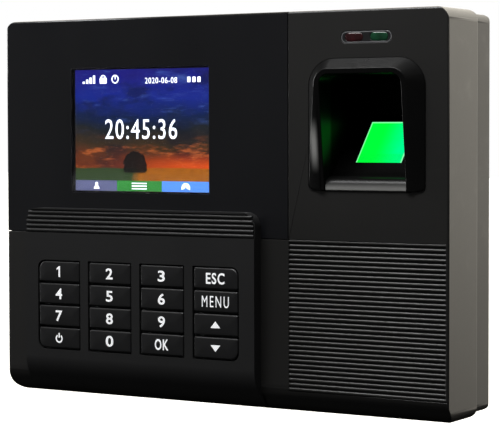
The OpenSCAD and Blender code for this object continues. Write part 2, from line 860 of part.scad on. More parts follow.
module backup_battery() {
    color("#c9ccd0") rod_y(x_left + 26, z_top - 40, 10, board_back_p + 0.9 + fit, board_back_p + 4);
}

module buzzer() {
    color("#141416") difference() {
        rod_y(x_left + 30, z_bot + 26, 4.6, board_back_p, board_back_p + 5.2);
        rod_y(x_left + 30, z_bot + 26, 0.9, board_back_p + 4.2, board_back_p + 6);
    }
}

module lock_relay() {
    color("#2459a8") on_board(x_left + 12, z_bot + 34, x_left + 31, z_bot + 49, 9.8, 0.8);
}

// Low-voltage inlet: socket and centre pin, mouth facing down
module power_jack() {
    color("#161618") union() {
        difference() {
            on_board(-8, plug_z - 14, 1, plug_z, 10.8);
            rod_z(-3.5, y_front + board_back_p + 6.4, 2.9, plug_z - 15, plug_z - 4);
        }
        rod_z(-3.5, y_front + board_back_p + 6.4, 1, plug_z - 12.5, plug_z - 3);
    }
}

module network_jack() {
    color("#b4b7ba") difference() {
        on_board(-30, plug_z - 16, -14, plug_z, 13.4);
        block([-27.9, board_back_p + 2.6, plug_z - 17], [-16.1, board_back_p + 10.8, plug_z - 4]);
    }
}

module terminal_block() {
    color("#2f7d46") difference() {
        on_board(8, plug_z - 10, 28.5, plug_z, 9);
        for (i = [0:3]) {
            block([9.6 + i * 5, board_back_p + 1.6, plug_z - 11],
                  [12.3 + i * 5, board_back_p + 4.4, plug_z - 4]);
            rod_y(10.95 + i * 5, plug_z - 5, 1.3, board_back_p + 7.6, board_back_p + 10);
        }
    }
}

module usb_port() {
    color("#c4c7ca") difference() {
        block([usb_mid - usb_w / 2, board_p - usb_t, usb_z0], [usb_mid + usb_w / 2, board_p, usb_z1]);
        block([usb_mid - usb_w / 2 + 0.4, board_p - usb_t + 0.7, usb_z0 - 1],
              [usb_mid + usb_w / 2 - 0.4, board_p - 0.9, usb_z0 + 10]);
    }
}

module speaker() {
    p = panel_in_p - speaker_pad_t;
    color("#232327") {
        rod_y(speaker_x, speaker_z, speaker_r, p - speaker_t, p);
        rod_y(speaker_x, speaker_z, magnet_r, p - speaker_t - magnet_t, p - speaker_t + EPS);
    }
}

module speaker_gasket() {
    color("#3a3a3a") difference() {
        rod_y(speaker_x, speaker_z, speaker_r, panel_in_p - speaker_pad_t, panel_in_p);
        rod_y(speaker_x, speaker_z, speaker_r - 2.4, panel_in_p - 2, panel_in_p + 1);
    }
}

// ---------------------------------------------------------------- rear shell and wall plate

module rear_outline(d) {
    s = rear_step + d;
    rounded(x_left + s, z_bot + s, x_right - s, z_top - s, max(corner_r - s, 0.8), $fn = case_fn);
}

// Front view outline of the case drawn in by d
module inset_outline(d, r) {
    rounded(x_left + d, z_bot + d, x_right - d, z_top - d, r);
}

module rear_shell() {
    color("#1c1c1f") difference() {
        union() {
            difference() {
                intersection() {
                    slab(seam_p, rear_edge_p) rear_outline(0);
                    bar_x(x_left, x_right)
                        rounded(seam_p, z_bot + rear_step, rear_edge_p, z_top - rear_step,
                                [0.3, rear_edge_r, rear_edge_r, 0.3]);
                    column_z(z_bot, z_top)
                        rounded(x_left + rear_step, seam_p, x_right - rear_step, rear_edge_p,
                                [0.3, 0.3, rear_edge_r, rear_edge_r]);
                }
                slab(seam_p - 1, panel_in_p) rear_outline(rear_wall);
                slab(panel_out_p, rear_edge_p + 1) rear_outline(rear_wall);
            }
            difference() {
                slab(seam_p - tongue_len, seam_p + 1) inset_outline(wall + tongue_gap, 2);
                slab(seam_p - tongue_len - 1, seam_p + 2)
                    inset_outline(wall + tongue_gap + tongue_t, 1);
            }
            for (c = corner_posts)
                rod_y(c[0], c[1], rear_post_r, seam_p, panel_in_p + EPS);
            difference() {
                rod_y(speaker_x, speaker_z, speaker_r + 1.6, panel_in_p - 4, panel_in_p + EPS);
                rod_y(speaker_x, speaker_z, speaker_r + 0.3, panel_in_p - 5, panel_in_p + EPS);
            }
            rod_z(0, lock_y, 4, z_bot + rear_step + 1, z_bot + rear_step + rear_wall + 2.3);
        }
        for (c = corner_posts) {
            rod_y(c[0], c[1], case_screw_r + 0.2, seam_p - 1, case_d);
            rod_y(c[0], c[1], counterbore_r, head_seat_p, case_d);
        }
        slab(panel_in_p - 1, panel_out_p + 1)
            rounded(-service_w / 2, service_z0, service_w / 2, service_z1, 3);
        for (s = [-1, 1])
            slab(panel_in_p - 1, panel_out_p + 1) translate([s * hook_x - hook_w / 2 - 1, hook_z - 5])
                square([hook_w + 2, 5 + plate_t + fit]);
        slab(panel_in_p - 6, panel_out_p + 1) translate([-lock_tab_w / 2 - 1, lock_tab_z - plate_t - 0.4])
            square([lock_tab_w + 2, plate_t + 3.6]);
        rod_z(0, lock_y, case_screw_r + 0.2, z_bot, z_bot + 9);
        rod_z(0, lock_y, counterbore_r, z_bot, z_bot + rear_step + lock_head_t + 0.2);
        rod_y(0, tamper_z, tamper_r + 0.2, panel_in_p - 1, panel_out_p + 1);
        for (i = [-2:2], j = [-2:2])
            if (abs(i) + abs(j) < 4)
                rod_y(speaker_x + i * grille_pitch, speaker_z + j * grille_pitch, grille_r,
                        panel_in_p - 1, panel_out_p + 1);
    }
}

// Folded steel plate: two hooks above, a locking tab below, a window for the wiring
module wall_plate() {
    color("#9a9da1") difference() {
        union() {
            slab(case_d - plate_t, case_d) rounded(-plate_w / 2, plate_z0, plate_w / 2, plate_z1, 4);
            for (s = [-1, 1]) {
                block([s * hook_x - hook_w / 2, case_d - hook_reach, hook_z],
                      [s * hook_x + hook_w / 2, case_d - plate_t + EPS, hook_z + plate_t]);
                block([s * hook_x - hook_w / 2, case_d - hook_reach, hook_z],
                      [s * hook_x + hook_w / 2, case_d - hook_reach + plate_t, hook_z + hook_up]);
            }
            block([-lock_tab_w / 2, case_d - plate_t, lock_tab_z], [lock_tab_w / 2, case_d, plate_z0 + 1]);
            block([-lock_tab_w / 2, case_d - lock_tab_reach, lock_tab_z],
                  [lock_tab_w / 2, case_d, lock_tab_z + plate_t]);
        }
        slab(case_d - plate_t - 1, case_d + 1)
            rounded(-service_w / 2, plate_z0 + 4, service_w / 2, service_z1 + 4, 3);
        for (sx = [-1, 1], sz = [-1, 1])
            rod_y(sx * hole_dx / 2, sz * hole_dz / 2, hole_r, case_d - plate_t - 1, case_d + 1);
        rod_z(0, lock_y, case_screw_r + thread_gap, lock_tab_z - 1, lock_tab_z + plate_t + 1);
    }
}

module tamper_switch() {
    color("#151517") block([-3, board_back_p, tamper_z - 3], [3, case_d + tamper_body_y, tamper_z + 3]);
}

module tamper_plunger() {
    color("#b33a2a") {
        rod_y(0, tamper_z, tamper_r, case_d + tamper_flange_y, case_d - plate_t - tamper_air);
        rod_y(0, tamper_z, tamper_r + 1, case_d + tamper_flange_y,
              case_d + tamper_flange_y + tamper_flange_t);
    }
}

// ---------------------------------------------------------------- screws

module case_screws() {
    color("#8f9296") for (c = corner_posts)
        screw_y(c[0], c[1], case_screw_r, case_head_r, case_head_t, case_screw_len, head_seat_p);
}

module board_screws() {
    color("#8f9296") for (b = board_posts)
        screw_y(b[0], b[1], small_r, small_head_r, small_head_t, small_len + board_t, board_back_p);
}

module small_screws() {
    color("#8f9296") {
        for (sx = [-1, 0, 1], sz = [-1, 1])
            screw_y(field_x + sx * post_dx, field_z + sz * post_dz, small_r, small_head_r,
                    small_head_t, small_len, face_t + board_t);
        for (sx = [-1, 1], sz = [-1, 1])
            screw_y(scr_x + sx * (lcd_w / 2 + frame_screw_in), scr_z + sz * (lcd_h / 2 + frame_screw_in),
                    small_r, small_head_r, small_head_t, frame_t + 1.6, sub_face_p + frame_t);
        for (sx = [-1, 1])
            screw_y(well_mid + sx * sensor_screw_x, sensor_screw_z, small_r, small_head_r,
                    small_head_t, small_len, sensor_board_p + sensor_board_t);
    }
}

module lock_screw() {
    z0 = z_bot + rear_step + 0.2;
    slot_reach = case_head_r * slot_share;
    color("#8f9296") difference() {
        union() {
            rod_z(0, lock_y, case_head_r, z0, z0 + lock_head_t);
            rod_z(0, lock_y, case_screw_r, z0 + lock_head_t - EPS, lock_tab_z + plate_t + 1.5);
        }
        translate([-slot_reach, lock_y - slot_half, z0 - EPS])
            cube([2 * slot_reach, 2 * slot_half, lock_head_t * slot_depth]);
        translate([-slot_half, lock_y - slot_reach, z0 - EPS])
            cube([2 * slot_half, 2 * slot_reach, lock_head_t * slot_depth]);
    }
}

// ---------------------------------------------------------------- what is drawn

front_shell();
display_cover();
screen_window();
lcd_panel();
lcd_frame();
lcd_flex();
keypad_cover();
key_cap(0, 0);  // key_1
key_cap(1, 0);  // key_2
key_cap(2, 0);  // key_3
key_cap(3, 0);  // key_esc
key_cap(0, 1);  // key_4
key_cap(1, 1);  // key_5
key_cap(2, 1);  // key_6
key_cap(3, 1);  // key_menu
key_cap(0, 2);  // key_7
key_cap(1, 2);  // key_8
key_cap(2, 2);  // key_9
key_cap(3, 2);  // key_up
key_cap(0, 3);  // key_power
key_cap(1, 3);  // key_0
key_cap(2, 3);  // key_ok
key_cap(3, 3);  // key_down
keypad_mat();
keypad_pcb();
keypad_flex();
finger_guide();
finger_glass();
sensor_housing();
sensor_lens();
sensor_pcb();
sensor_cable();
led_bezel();
led_lens(-1, "#7a1414");  // led_lens_red
led_lens(1, "#14522a");  // led_lens_green
indicator_leds();
indicator_board();
main_pcb();
processor_shield();
memory_chips();
board_capacitors();
battery_holder();
backup_battery();
buzzer();
lock_relay();
power_jack();
network_jack();
terminal_block();
usb_port();
speaker();
speaker_gasket();
rear_shell();
wall_plate();
tamper_switch();
tamper_plunger();
case_screws();
board_screws();
small_screws();
lock_screw();
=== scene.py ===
"""Looks of a wall-mounted fingerprint terminal: finishes, fine pieces, light and camera.

The classes hold their sizes in millimetres and the meshes are in metres. X runs to the right, Z up,
and a depth p is counted from the front face of the case towards the wall.
"""
import logging
import math
from dataclasses import dataclass
from enum import Enum
from typing import Any, Callable, Mapping, Sequence

import bmesh
import bpy
from mathutils import Matrix, Vector


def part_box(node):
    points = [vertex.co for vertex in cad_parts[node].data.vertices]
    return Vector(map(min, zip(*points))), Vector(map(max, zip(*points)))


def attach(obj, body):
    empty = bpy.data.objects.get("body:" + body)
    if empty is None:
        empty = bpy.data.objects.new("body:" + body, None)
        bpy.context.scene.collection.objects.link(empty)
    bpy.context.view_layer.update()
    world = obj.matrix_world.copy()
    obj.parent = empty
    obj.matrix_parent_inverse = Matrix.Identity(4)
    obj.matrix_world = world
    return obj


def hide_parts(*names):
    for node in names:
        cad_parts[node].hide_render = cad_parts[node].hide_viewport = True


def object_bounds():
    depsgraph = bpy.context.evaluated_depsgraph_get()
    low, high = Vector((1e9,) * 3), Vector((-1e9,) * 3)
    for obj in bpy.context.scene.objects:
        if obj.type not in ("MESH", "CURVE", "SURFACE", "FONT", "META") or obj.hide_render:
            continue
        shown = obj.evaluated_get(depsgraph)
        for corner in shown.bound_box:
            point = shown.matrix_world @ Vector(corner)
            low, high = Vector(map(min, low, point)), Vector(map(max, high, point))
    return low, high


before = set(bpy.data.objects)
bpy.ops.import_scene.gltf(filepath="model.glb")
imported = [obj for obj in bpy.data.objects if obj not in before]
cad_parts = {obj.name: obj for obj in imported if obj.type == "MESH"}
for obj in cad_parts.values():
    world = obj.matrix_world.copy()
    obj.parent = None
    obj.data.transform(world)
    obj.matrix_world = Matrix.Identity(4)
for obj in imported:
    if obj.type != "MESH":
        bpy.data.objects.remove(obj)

LOG = logging.getLogger("terminal")
CAD_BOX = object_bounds()
MM = 0.001
ROOT = "terminal"
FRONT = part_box("front_shell")[0].y / MM
Point = tuple[float, float]
Triple = tuple[float, float, float]
Colour = Triple
Options = Mapping[str, Any] | None
Inputs = Mapping[int | str, Any] | None


def srgb(red: int, green: int, blue: int) -> Colour:
    """Linear colour of a display colour given as 0 to 255."""
    return tuple(((c / 255 + 0.055) / 1.055) ** 2.4 if c > 10 else c / 255 / 12.92
                 for c in (red, green, blue))


def shade(colour: Colour, factor: float, lift: float = 0.0) -> Colour:
    """The colour times a factor, raised by a lift."""
    return tuple(c * factor + lift for c in colour)


@dataclass(frozen=True)
class Extent:
    """The box of a CAD node at rest, in millimetres."""

    low: Vector
    high: Vector

    @classmethod
    def of(cls, node: str) -> "Extent":
        """Reads the box of a node from the frame."""
        low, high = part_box(node)
        return cls(Vector(low) / MM, Vector(high) / MM)

    @property
    def mid(self) -> Vector:
        """The middle of the box."""
        return (self.low + self.high) / 2

    @property
    def size(self) -> Vector:
        """The lengths of the box."""
        return self.high - self.low


# ---------------- shader graphs


class Sock:
    """A shader socket on which Python arithmetic adds Math nodes."""

    def __init__(self, graph: "Graph", socket: bpy.types.NodeSocket) -> None:
        """Wraps one output socket of a graph."""
        self.graph = graph
        self.socket = socket

    def __add__(self, other: Any) -> "Sock":
        """Sum."""
        return self.graph.calc("ADD", self, other)

    def __sub__(self, other: Any) -> "Sock":
        """Difference."""
        return self.graph.calc("SUBTRACT", self, other)

    def __rsub__(self, other: Any) -> "Sock":
        """Reflected difference, as in 1 - mask."""
        return self.graph.calc("SUBTRACT", other, self)

    def __mul__(self, other: Any) -> "Sock":
        """Product."""
        return self.graph.calc("MULTIPLY", self, other)

    def __truediv__(self, other: Any) -> "Sock":
        """Quotient."""
        return self.graph.calc("DIVIDE", self, other)

    def __abs__(self) -> "Sock":
        """Absolute value."""
        return self.graph.calc("ABSOLUTE", self)

    __radd__ = __add__
    __rmul__ = __mul__

    def step(self, low: float, high: float) -> "Sock":
        """Smooth rise from 0 at low to 1 at high.

        Args:
            low: value at which the result is 0.
            high: value at which the result is 1; it may be below low.

        Returns:
            The ramped signal.
        """
        return self.graph.node("ShaderNodeMapRange", {"interpolation_type": "SMOOTHSTEP"},
                               {0: self, 1: low, 2: high, 3: 0.0, 4: 1.0})


def new_node(tree: bpy.types.NodeTree, kind: str, settings: Options, values: Inputs) -> bpy.types.Node:
    """Adds a node to a tree, sets its options first and then its inputs.

    Args:
        tree: the shader or geometry tree.
        kind: Blender's node type.
        settings: the node's options, with a ramp's colours under "stops".
        values: numbers, colours or sockets for its inputs, by index or name.

    Returns:
        The new node.
    """
    made = tree.nodes.new(kind)
    for key, value in (settings or {}).items():
        if key == "stops":
            set_stops(made.color_ramp, value)
        else:
            setattr(made, key, value)
    for key, value in (values or {}).items():
        value = value.socket if isinstance(value, Sock) else value
        if isinstance(value, bpy.types.NodeSocket):
            tree.links.new(value, made.inputs[key])
        elif isinstance(value, tuple) and made.inputs[key].type == "RGBA":
            made.inputs[key].default_value = (*value, 1.0)
        else:
            made.inputs[key].default_value = value
    return made


def set_stops(ramp: bpy.types.ColorRamp, stops: Sequence[tuple[float, Colour]]) -> None:
    """Gives a colour ramp its stops.

    Args:
        ramp: the ramp.
        stops: position and colour of each, lowest first.
    """
    while len(ramp.elements) < len(stops):
        ramp.elements.new(1.0)
    for element, (position, colour) in zip(ramp.elements, stops):
        element.position = position
        element.color = (*colour, 1.0)


class Graph:
    """Builds the nodes of one material or world."""

    def __init__(self, tree: bpy.types.NodeTree) -> None:
        """Starts from an empty tree."""
        self.tree = tree
        tree.nodes.clear()

    def node(self, kind: str, settings: Options = None, values: Inputs = None, out: int | str = 0) -> Sock:
        """Adds a node.

        Args:
            kind: Blender's node type.
            settings: the node's options.
            values: what its inputs get.
            out: which output is returned.

        Returns:
            The chosen output, or the node itself if it has none.
        """
        made = new_node(self.tree, kind, settings, values)
        return Sock(self, made.outputs[out]) if made.outputs else made

    def calc(self, operation: str, *values: Any) -> Sock:
        """Adds a Math node on one to three values."""
        return self.node("ShaderNodeMath", {"operation": operation}, dict(enumerate(values)))

    def mix(self, first: Any, second: Any, factor: Any) -> Sock:
        """Blends two colours, factor being the share of the second."""
        return self.node("ShaderNodeMix", {"data_type": "RGBA"}, {0: factor, 6: first, 7: second}, 2)

    def layers(self, base: Any, *coats: tuple[Any, Any]) -> Sock:
        """Lays colours over a base.

        Args:
            base: the lowest colour.
            coats: colour and factor of each layer.

        Returns:
            The blended colour.
        """
        for colour, factor in coats:
            base = self.mix(base, colour, factor)
        return base

    def place(self, stretch: Colour = (1.0, 1.0, 1.0)) -> Sock:
        """Object coordinates, scaled along each axis."""
        raw = self.node("ShaderNodeTexCoord", out="Object")
        return self.node("ShaderNodeVectorMath", {"operation": "MULTIPLY"}, {0: raw, 1: stretch})

    def axis(self, name: str) -> Sock:
        """One object coordinate, in millimetres."""
        return self.node("ShaderNodeSeparateXYZ", None, {0: self.place((1 / MM,) * 3)}, name)

    def reach(self, across: Sock, up: Sock) -> Sock:
        """Distance from a middle, from the two offsets."""
        return self.calc("SQRT", across * across + up * up)

    def noise(self, size: float, detail: float = 2.0, rough: float = 0.5,
              stretch: Colour = (1.0, 1.0, 1.0)) -> Sock:
        """Noise of a given grain.

        Args:
            size: size of the largest lumps in millimetres.
            detail: number of finer layers.
            rough: strength of the finer layers.
            stretch: scale along each axis.

        Returns:
            A signal about 0.5.
        """
        return self.node("ShaderNodeTexNoise", None, {
            "Vector": self.place(stretch), "Scale": 1 / (size * MM), "Detail": detail, "Roughness": rough})

    def bump(self, height: Sock, depth: float) -> Sock:
        """Normal of a height signal whose full step is depth millimetres."""
        return self.node("ShaderNodeBump", None, {"Height": height, "Distance": depth * MM})

    def principled(self, values: Mapping[str, Any]) -> Sock:
        """Adds a Principled shader with the given inputs."""
        return self.node("ShaderNodeBsdfPrincipled", None, values)

    def end(self, shader: Sock) -> None:
        """Ends a material in a shader."""
        self.node("ShaderNodeOutputMaterial", None, {"Surface": shader})

    def surface(self, values: Mapping[str, Any]) -> None:
        """Ends a material in one Principled shader with the given inputs."""
        self.end(self.principled(values))


# ---------------- finishes


@dataclass(frozen=True)
class Finish:
    """Base of the finishes: a name, and a material that is built on first use."""

    name: str

    def material(self) -> bpy.types.Material:
        """Finds the material of this finish, or builds it.

        Returns:
            The material, named after the finish.
        """
        title = self.name + "_look"
        found = bpy.data.materials.get(title)
        if found:
            return found
        made = bpy.data.materials.new(title)
        made.use_nodes = True
        self.draw(Graph(made.node_tree))
        return made

    def draw(self, graph: Graph) -> None:
        """Adds the nodes of the finish.

        Args:
            graph: the material's empty graph.
        """
        raise NotImplementedError


@dataclass(frozen=True)
class Moulded(Finish):
    """Moulded plastic with a spark-eroded grain, faint flow marks and rubbed patches.

    The size and depth of the grain are in millimetres. Rub is the strength of the pale rubbed
    patches, and gloss is the strength of the reflections.
    """

    colour: Colour
    rough: float = 0.42
    grain: float = 0.35
    depth: float = 0.006
    rub: float = 0.35
    gloss: float = 0.5

    def draw(self, graph: Graph) -> None:
        """Adds grain, flow and rub to a Principled plastic.

        Args:
            graph: the material's empty graph.
        """
        grain = graph.noise(self.grain, 3.0, 0.6)
        flow = graph.noise(38.0, 3.0, 0.5, (1.0, 1.0, 0.45))
        rubbed = graph.noise(9.0, 6.0, 0.68).step(0.5, 0.78)
        colour = graph.mix(self.colour, shade(self.colour, 1.6, 0.002), rubbed * self.rub)
        colour = graph.mix(colour, shade(self.colour, 0.7), grain.step(0.35, 0.75) * 0.3)
        rough = (flow - 0.5) * 0.12 + (grain - 0.5) * 0.1 - rubbed * 0.05 + self.rough
        graph.surface({"Base Color": colour, "Roughness": rough, "Normal": graph.bump(grain, self.depth),
                       "Specular IOR Level": self.gloss})


@dataclass(frozen=True)
class WellPlastic(Moulded):
    """Moulded plastic with painted shade inside the well, and painted highlights on the sill and on the
    hood's left flank.

    Places are in millimetres from the lower left corner of the guide, or from its upright middle
    line for lip_wide. Mouth is the depth below the case's front at which the painted shade inside starts.
    """

    # Depth at which the painted shade inside the well starts, and over how much it fades in.
    mouth: float = 2.6
    mouth_fade: float = 1.6
    # Painted highlight on the sill: its half width, and the heights above the guide's foot below which it is
    # full and above which it has faded out.
    lip_wide: float = 15.1
    lip_low: float = 1.9
    lip_high: float = 5.6
    # Painted highlight on the hood's left flank: its middle from the guide's lower left corner, and its half
    # width and half height.
    flank_highlight_at: Point = (3.4, 17.0)
    flank_highlight_reach: Point = (2.2, 10.0)
    # Colour of both painted highlights.
    highlight_colour: Colour = (0.3, 0.3, 0.29)
    # Painted shade inside the well: near black with a worn variation, and weak reflections.
    well_shade: Colour = (0.0004, 0.0004, 0.0004)
    well_shade_worn: Colour = (0.001, 0.001, 0.001)
    inner_gloss: float = 0.04

    def draw(self, graph: Graph) -> None:
        """Adds grain, painted highlights on the sill and the left flank, and painted shade inside the well to
        two mixed Principled plastics.

        Args:
            graph: the material's empty graph.
        """
        grain = graph.noise(self.grain, 3.0, 0.6)
        worn = graph.noise(7.0, 5.0, 0.65).step(0.5, 0.8)
        box = Extent.of("finger_guide")
        # Painted shade: deeper than the mouth, the near black inner shader takes over.
        well_shade_mask = (graph.axis("Y") - FRONT).step(self.mouth, self.mouth + self.mouth_fade)
        # Mask of the painted highlight on the sill, full at its lower edge.
        low = (graph.axis("Z") - box.low.z).step(self.lip_high, self.lip_low)
        lip_highlight = low * low * abs(graph.axis("X") - box.mid.x).step(self.lip_wide, self.lip_wide - 0.2)
        colour = graph.mix(self.colour, shade(self.colour, 1.8, 0.002), worn * self.rub)
        # Painted highlight on the sill, with a little wear in its tone.
        colour = graph.mix(colour, self.highlight_colour, lip_highlight * (worn * 0.15 + 0.85))
        # Painted highlight on the hood's left flank.
        side = abs(graph.axis("X") - box.low.x - self.flank_highlight_at[0]).step(self.flank_highlight_reach[0], 0.3)
        flank_highlight = side * abs(graph.axis("Z") - box.low.z - self.flank_highlight_at[1]).step(self.flank_highlight_reach[1], 1.0)
        colour = graph.mix(colour, self.highlight_colour, flank_highlight * (worn * 0.2 + 0.8))
        bump = graph.bump(grain, self.depth)
        rough = (grain - 0.5) * 0.1 - worn * 0.05 + lip_highlight * 0.15 + self.rough
        outer = graph.principled({"Base Color": colour, "Roughness": rough, "Normal": bump,
                                  "Specular IOR Level": self.gloss})
        # Near black shader of the painted shade inside the well.
        inner = graph.principled({"Base Color": graph.mix(self.well_shade, self.well_shade_worn, worn),
                                  "Roughness": grain * 0.1 + 0.3, "Normal": bump,
                                  "Specular IOR Level": self.inner_gloss})
        graph.end(graph.node("ShaderNodeMixShader", None, {0: well_shade_mask, 1: outer, 2: inner}))


@dataclass(frozen=True)
class RimmedBezel(Finish):
    """Dark plastic pill with a painted highlight along its outline."""

    node: str = "led_bezel"
    dark: Colour = (0.006, 0.006, 0.007)
    # Colour of the painted highlight along the outline.
    outline_highlight: Colour = (0.13, 0.132, 0.138)
    rim: float = 0.34
    fade: float = 0.04

    def draw(self, graph: Graph) -> None:
        """Adds the painted highlight along the outline to a Principled plastic.

        Args:
            graph: the material's empty graph.
        """
        box = Extent.of(self.node)
        half = box.size.z / 2
        along = graph.calc("MAXIMUM", abs(graph.axis("X") - box.mid.x) - (box.size.x / 2 - half), 0.0)
        reach = graph.reach(along, graph.axis("Z") - box.mid.z)
        grain = graph.noise(0.3, 3.0, 0.6)
        rim = half - self.rim
        # Painted highlight: a pale band along the pill's outer edge.
        line = (reach + (grain - 0.5) * 0.06).step(rim - self.fade, rim + self.fade)
        graph.surface({"Base Color": graph.mix(self.dark, self.outline_highlight, line),
                       "Roughness": grain * 0.15 + 0.32, "Normal": graph.bump(grain, 0.004)})


@dataclass(frozen=True)
class Metal(Finish):
    """Rolled or plated metal with a drawn grain and cloudy oxide."""

    colour: Colour
    rough: float = 0.32
    stretch: Colour = (0.06, 1.0, 1.0)
    cloud: float = 0.6

    def draw(self, graph: Graph) -> None:
        """Adds drawn lines and clouding to a Principled metal.

        Args:
            graph: the material's empty graph.
        """
        lines = graph.noise(0.25, 3.0, 0.7, self.stretch)
        clouds = graph.noise(7.0, 4.0, 0.6)
        colour = graph.mix(self.colour, shade(self.colour, 0.62), clouds.step(0.4, 0.75) * self.cloud)
        rough = (lines - 0.5) * 0.25 + (clouds - 0.5) * 0.25 * self.cloud + self.rough
        graph.surface({"Base Color": colour, "Roughness": rough, "Metallic": 1.0,
                       "Normal": graph.bump(lines, 0.004)})


@dataclass(frozen=True)
class BoardMask(Finish):
    """Green solder mask over copper tracks, with tinned pads."""

    colour: Colour = (0.007, 0.065, 0.022)
    tinned: Colour = (0.62, 0.6, 0.55)
    pitch: float = 1.9

    def draw(self, graph: Graph) -> None:
        """Adds tracks, pads and glass weave to a Principled lacquer.

        Args:
            graph: the material's empty graph.
        """
        cell = {"Vector": graph.place(), "Scale": 1 / (self.pitch * MM)}
        edges = graph.node("ShaderNodeTexVoronoi", {"feature": "DISTANCE_TO_EDGE"}, cell)
        tracks = edges.step(0.09, 0.05)
        dots = graph.node("ShaderNodeTexVoronoi", {"feature": "F1"}, cell)
        pads = dots.step(0.2, 0.16) * graph.noise(9.0).step(0.5, 0.55)
        weave = graph.noise(0.4, 2.0, 0.5)
        colour = graph.mix(self.colour, shade(self.colour, 1.9), tracks)
        colour = graph.mix(colour, self.tinned, pads)
        graph.surface({"Base Color": colour, "Roughness": weave * 0.15 + 0.22 + pads * 0.1,
                       "Metallic": pads, "Normal": graph.bump(tracks + pads + weave * 0.3, 0.03)})


@dataclass(frozen=True)
class Rubber(Finish):
    """Soft matt material: silicone, foam or cable jacket."""

    colour: Colour
    cell: float = 0.5
    depth: float = 0.03
    dusty: Colour = (0.35, 0.34, 0.32)

    def draw(self, graph: Graph) -> None:
        """Adds pores and dust to a matt Principled.

        Args:
            graph: the material's empty graph.
        """
        pores = graph.noise(self.cell, 3.0, 0.6)
        dust = graph.noise(6.0, 5.0, 0.7).step(0.45, 0.8)
        colour = graph.mix(self.colour, self.dusty, dust * 0.12)
        graph.surface({"Base Color": colour, "Roughness": pores * 0.2 + 0.62,
                       "Normal": graph.bump(pores, self.depth)})


@dataclass(frozen=True)
class Ink(Finish):
    """Printed or laser-marked ink with a slightly broken surface."""

    colour: Colour
    # Emission strength: the display's own light for the screen inks, painted light for the key legends.
    glow: float = 0.0

    def draw(self, graph: Graph) -> None:
        """Adds fine unevenness to a Principled ink.

        Args:
            graph: the material's empty graph.
        """
        speck = graph.noise(0.2, 3.0, 0.6)
        colour = graph.mix(self.colour, shade(self.colour, 0.8), speck.step(0.5, 0.8))
        graph.surface({"Base Color": colour, "Roughness": speck * 0.2 + 0.4, "Emission Color": colour,
                       "Emission Strength": self.glow, "Normal": graph.bump(speck, 0.004)})


@dataclass(frozen=True)
class TintedLens(Finish):
    """Coloured clear plastic with a faint inner glow and moulded prisms behind."""

    colour: Colour
    glow: float = 0.15
    prism: float = 0.7

    def draw(self, graph: Graph) -> None:
        """Adds prism lines and a core glow to a glossy Principled.

        Args:
            graph: the material's empty graph.
        """
        prisms = graph.node("ShaderNodeTexWave", {"bands_direction": "X"}, {
            "Vector": graph.place(), "Scale": 0.05 / (self.prism * MM), "Distortion": 0.6})
        core = graph.noise(2.5).step(0.3, 0.7)
        colour = graph.mix(shade(self.colour, 0.35), self.colour, core * 0.6 + prisms * 0.3)
        graph.surface({"Base Color": colour, "Roughness": prisms * 0.05 + 0.16, "Emission Color": colour,
                       "Emission Strength": self.glow, "Coat Weight": 0.6, "Coat Roughness": 0.08,
                       "Normal": graph.bump(prisms, 0.006)})


@dataclass(frozen=True)
class ClearWindow(Finish):
    """Hard-coated clear window with a few faint wipe marks."""

    colour: Colour = (0.97, 0.98, 1.0)
    rough: float = 0.03

    def draw(self, graph: Graph) -> None:
        """Adds wipe marks to a clear Principled.

        Args:
            graph: the material's empty graph.
        """
        wipes = graph.noise(5.0, 6.0, 0.7, (0.3, 1.0, 1.0)).step(0.55, 0.8)
        graph.surface({"Base Color": self.colour, "Roughness": wipes * 0.05 + self.rough,
                       "Transmission Weight": 1.0, "IOR": 1.2, "Specular IOR Level": 0.2,
                       "Normal": graph.bump(wipes, 0.001)})


@dataclass(frozen=True)
class LitPrism(Finish):
    """Finger window of the prism, lit from below: green on the left, turning cyan-green to the right."""

    left: Colour = srgb(0, 255, 58)
    right: Colour = srgb(0, 255, 158)
    edge: Colour = srgb(150, 255, 190)
    body: Colour = (0.0, 0.02, 0.006)
    strength: float = 1.05
    border: float = 0.45
    fade: Point = (-0.004, 0.012)

    def draw(self, graph: Graph) -> None:
        """Adds the colour change, the pale ground border and faint skin marks to an emitter.

        Args:
            graph: the material's empty graph.
        """
        box = Extent.of("finger_glass")
        across = (graph.axis("X") - box.low.x) / box.size.x
        up = (graph.axis("Z") - box.low.z) / box.size.z
        edges = [abs(place - 0.5).step(*(0.5 - self.border / span + fade for fade in self.fade))
                 for place, span in ((across, box.size.x), (up, box.size.z))]
        rim = graph.calc("MAXIMUM", *edges)
        marks = graph.noise(2.2, 4.0, 0.6).step(0.4, 0.8)
        band = up.step(0.26, 0.22)
        colour = graph.layers(self.left, (self.right, across.step(0.3, 1.1)),
                              (shade(self.left, 0.82), band * 0.35), (shade(self.left, 0.8), marks * 0.18),
                              (self.edge, rim * 0.75))
        graph.surface({"Base Color": self.body, "Roughness": marks * 0.1 + 0.08,
                       "Emission Color": colour, "Emission Strength": self.strength})


